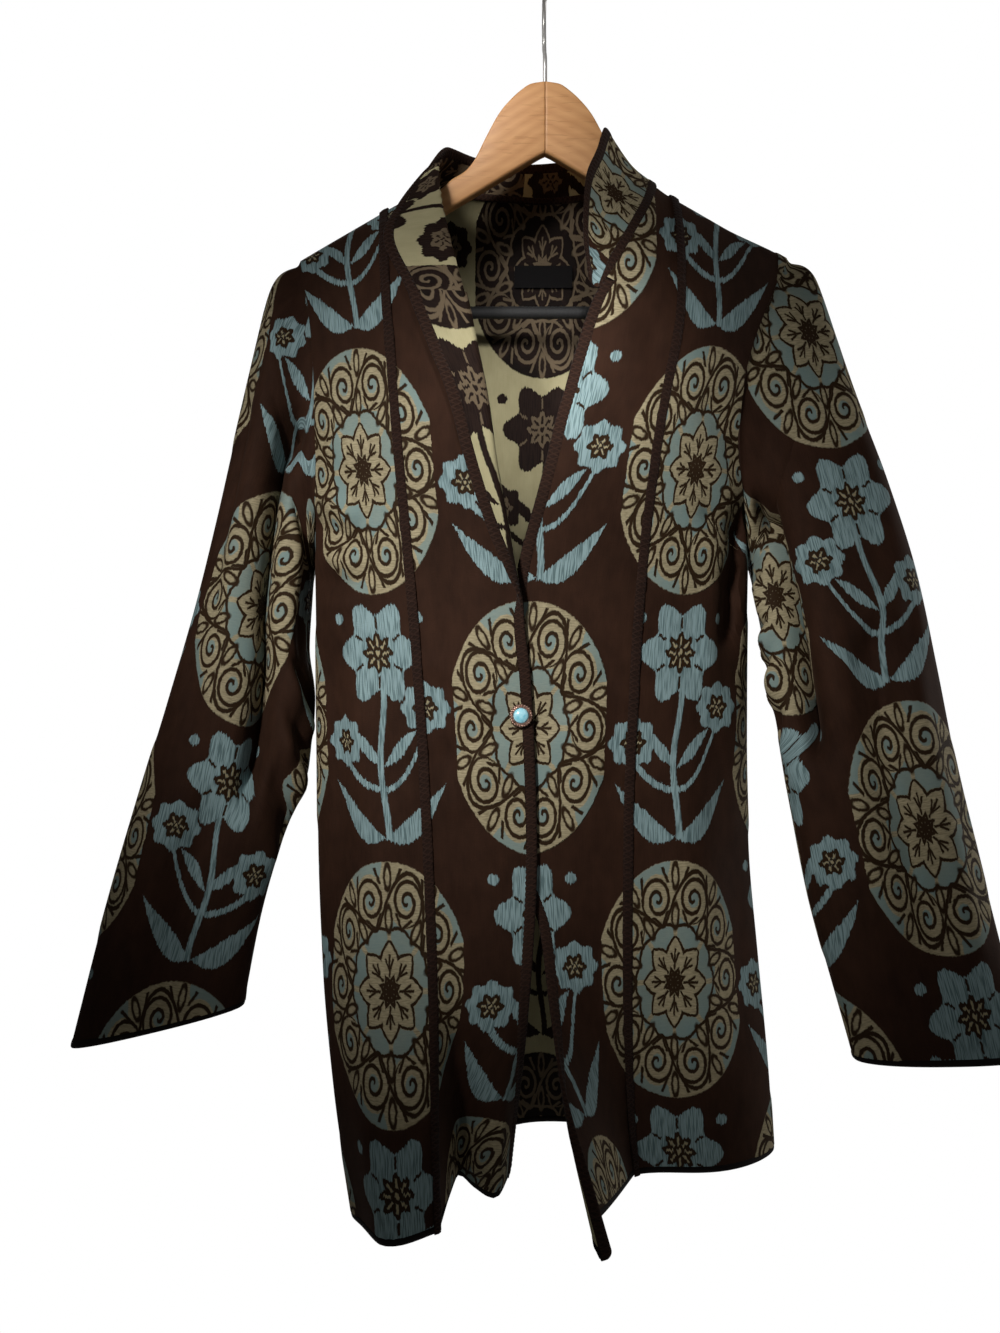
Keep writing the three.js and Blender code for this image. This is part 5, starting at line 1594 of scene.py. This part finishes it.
def arm_section(x):
    """A rounded section through the hanger's wood."""
    a = abs(x)
    top = float(CROWN("z", a))
    if a >= SHOULDER_START:
        top = ARM_TOP - (a - SHOULDER_START) * SHOULDER_SLOPE - ARM_DIP * smooth(*ARM_DIPS, a)
    low = ARM_UNDER - (math.hypot(a, ARM_UNDER_BEND) - ARM_UNDER_BEND) * ARM_UNDER_SLOPE
    low = mix(low, BAR_Z - LOBE_DROP, smooth(*LOBE_AT, a))
    end = max(0, a - (ARM_REACH - ARM_ROUND)) / ARM_ROUND
    shrink = ARM_SHRINK * (1 - math.sqrt(max(0, 1 - end**2)))
    top, low = top - shrink, low + shrink
    groove = ARM_GROOVE * bell(x, 0.4)
    half = WOOD_HALF - 0.6 * shrink - groove
    corner = min(WOOD_CORNER, half - 0.2)
    points = []
    for quarter, (sy, sz) in enumerate(((1, 1), (-1, 1), (-1, -1), (1, -1))):
        t = np.linspace(0, np.pi / 2, 7) + quarter * np.pi / 2
        cy = sy * (half - corner)
        cz = (top - corner - groove) if sz > 0 else (low + corner + groove)
        points.append(np.stack([np.full(7, x), cy + corner * np.cos(t), cz + corner * np.sin(t)], -1))
    return np.concatenate(points)


def dress_arms():
    stations = np.unique(np.concatenate([
        np.linspace(0, ARM_REACH - ARM_ROUND, 90),
        ARM_REACH - ARM_ROUND * (1 - np.sin(np.linspace(0, np.pi / 2, 10))),
        [0.35, 0.7, *LOBE_AT],
    ]))
    points, faces = tube([arm_section(x) for x in np.concatenate([-stations[:0:-1], stations])])
    arms = make_piece("hanger_arms", points, faces, [wood], sharp=50)
    finish_piece(arms, "wood", "hanger_wood")


def dress_bar():
    a = np.linspace(0, TURN, 40, endpoint=False)
    rings = []
    for x in np.linspace(-BAR_END, BAR_END, 357):
        ridge = RIDGE * math.cos(TURN * x / RIDGE_STEP) if abs(x) < BAR_END - BAR_CAP else -BAR_CAP_DEPTH
        r = BAR_RADIUS - 0.2 + ridge
        rings.append(np.stack([np.full(40, x), r * np.cos(a), BAR_Z + r * np.sin(a)], -1))
    points, faces = tube(rings)
    finish_piece(make_piece("hanger_bar_grip", points, faces, [rubber], sharp=50), "bar", "hanger_bar")


def dress_hook():
    """A wire that leaves the crown upwards and bends over forwards, with a rounded tip."""
    bend = HOOK_RADIUS + WIRE / 2
    path = list(HOOK_STEM)
    for degrees in np.arange(-35, 191, 15):
        t = math.radians(degrees)
        path.append((bend * math.cos(t), -HOOK_RADIUS + bend * math.sin(t)))
    path = np.array(path)
    length = lengths_along(path)
    even = np.linspace(0, length[-1], 150)
    line = np.stack([np.interp(even, length, path[:, k]) for k in (0, 1)], -1)
    for _ in range(6):
        line[1:-1] = (line[:-2] + 2 * line[1:-1] + line[2:]) / 4
    ahead = unit(np.gradient(line, axis=0))
    a = np.linspace(0, TURN, 24, endpoint=False)
    rings = []
    for i, ((y, z), (dy, dz)) in enumerate(zip(line, ahead)):
        left = len(line) - 1 - i
        r = WIRE / 2 * (math.sqrt(max(0.05, 1 - (1 - left / 3) ** 2)) if left < 3 else 1)
        rings.append(np.stack([r * np.cos(a), y - dz * r * np.sin(a), z + dy * r * np.sin(a)], -1))
    points, faces = tube(rings)
    finish_piece(make_piece("hanger_hook_wire", points, faces, [steel], sharp=60), "wire", "hanger_hook")


# ------------------------------------------------------------------ camera, floor and lights
EYE, LENS, SENSOR = (-0.039, -1.05, -0.591), 32.68, 36
FLOOR_HALF, FLOOR_FRONT, FLOOR_BACK, FLOOR_LEVEL = 0.9, -1.0, 0.6, -1.56
# name, place, what it is aimed at, radius, power, and the angle of a spot; the others are broad lamps
LAMPS = [
    ("key", (-0.74, -1.48, 0.05), (-0.02, 0, -0.57), 0.12, 134, 25.5),
    ("inner_light", (0.02, -1.0, -0.2), (0.0, 0, -0.35), 0.05, 46, 15),
    ("hanger_light", (-0.34, -0.7, 0.2), (-0.045, 0, -0.1), 0.08, 30, 21),
    ("fill", (0.9, -1.1, -0.2), (0.05, 0, -0.6), 0.4, 0.6, None),
    ("rim", (-0.3, 1.4, 0.1), (0, 0, -0.6), 0.6, 16, None),
    ("side", (1.7, 0.35, -0.3), (0.2, 0.05, -0.6), 0.4, 9, None),
]


def set_camera():
    eye = bpy.data.objects.new("camera", bpy.data.cameras.new("camera"))
    eye.data.lens, eye.data.sensor_width, eye.data.clip_start = LENS, SENSOR, 0.05
    eye.location = EYE
    eye.rotation_euler = (math.radians(90), 0, 0)
    bpy.context.scene.collection.objects.link(eye)
    bpy.context.scene.camera = eye


def lay_floor():
    """A pale floor under the jacket, which the camera sees a little brighter than it lights the cloth."""
    mesh = bpy.data.meshes.new("floor")
    corners = [
        (x, y, FLOOR_LEVEL)
        for x, y in (
            (-FLOOR_HALF, FLOOR_FRONT),
            (FLOOR_HALF, FLOOR_FRONT),
            (FLOOR_HALF, FLOOR_BACK),
            (-FLOOR_HALF, FLOOR_BACK),
        )
    ]
    mesh.from_pydata(corners, [], [(0, 1, 2, 3)])
    floor = bpy.data.objects.new("floor", mesh)
    pale = plain_finish("pale_floor", linear(226, 225, 222), linear(240, 239, 236), 30, (0.6, 0.7), 0.0002)
    tree = pale.node_tree
    shader = tree.nodes["Principled BSDF"]
    shader.inputs["Emission Color"].default_value = linear(226, 225, 222)
    sight = tree.nodes.new("ShaderNodeLightPath")
    glow = scaled_range(Field(tree, sight.outputs["Is Camera Ray"]), 0.0, 0.5)
    tree.links.new(glow.socket, shader.inputs["Emission Strength"])
    mesh.materials.append(pale)
    bpy.context.scene.collection.objects.link(floor)


def hang_lamps():
    for name, place, aim, radius, power, angle in LAMPS:
        data = bpy.data.lights.new(name, "SPOT" if angle else "AREA")
        data.energy = power
        if angle:
            data.shadow_soft_size = radius
            data.spot_size = math.radians(angle)
            data.spot_blend = 1
        else:
            data.size = 2 * radius
        lamp = bpy.data.objects.new(name, data)
        lamp.location = place
        way = np.array(aim) - np.array(place)
        tilt = math.atan2(math.hypot(way[0], way[1]), -way[2])
        lamp.rotation_euler = (tilt, 0, math.atan2(way[1], way[0]) - math.pi / 2)
        bpy.context.scene.collection.objects.link(lamp)


def light_world():
    """A white backdrop that lights the jacket only faintly."""
    world = bpy.data.worlds.new("studio")
    bpy.context.scene.world = world
    world.use_nodes = True
    tree = world.node_tree
    background = tree.nodes["Background"]
    background.inputs["Color"].default_value = (1, 1, 1, 1)
    sight = tree.nodes.new("ShaderNodeLightPath")
    strength = scaled_range(Field(tree, sight.outputs["Is Camera Ray"]), 0.07, 1.0)
    tree.links.new(strength.socket, background.inputs["Strength"])
    bpy.context.scene.view_settings.view_transform = "Standard"


set_camera()
lay_floor()
hang_lamps()
light_world()
dress_arms()
dress_bar()
dress_hook()
dress_front(RIGHT, "front_right")
dress_front(LEFT, "front_left")
dress_back()
dress_sleeve(RIGHT, "sleeve_right", RIGHT_SLEEVE, RIGHT_SLEEVE_CREASES)
dress_sleeve(LEFT, "sleeve_left", LEFT_SLEEVE, LEFT_SLEEVE_CREASES)
dress_collar()
dress_label()
dress_button()

bpy.context.view_layer.update()
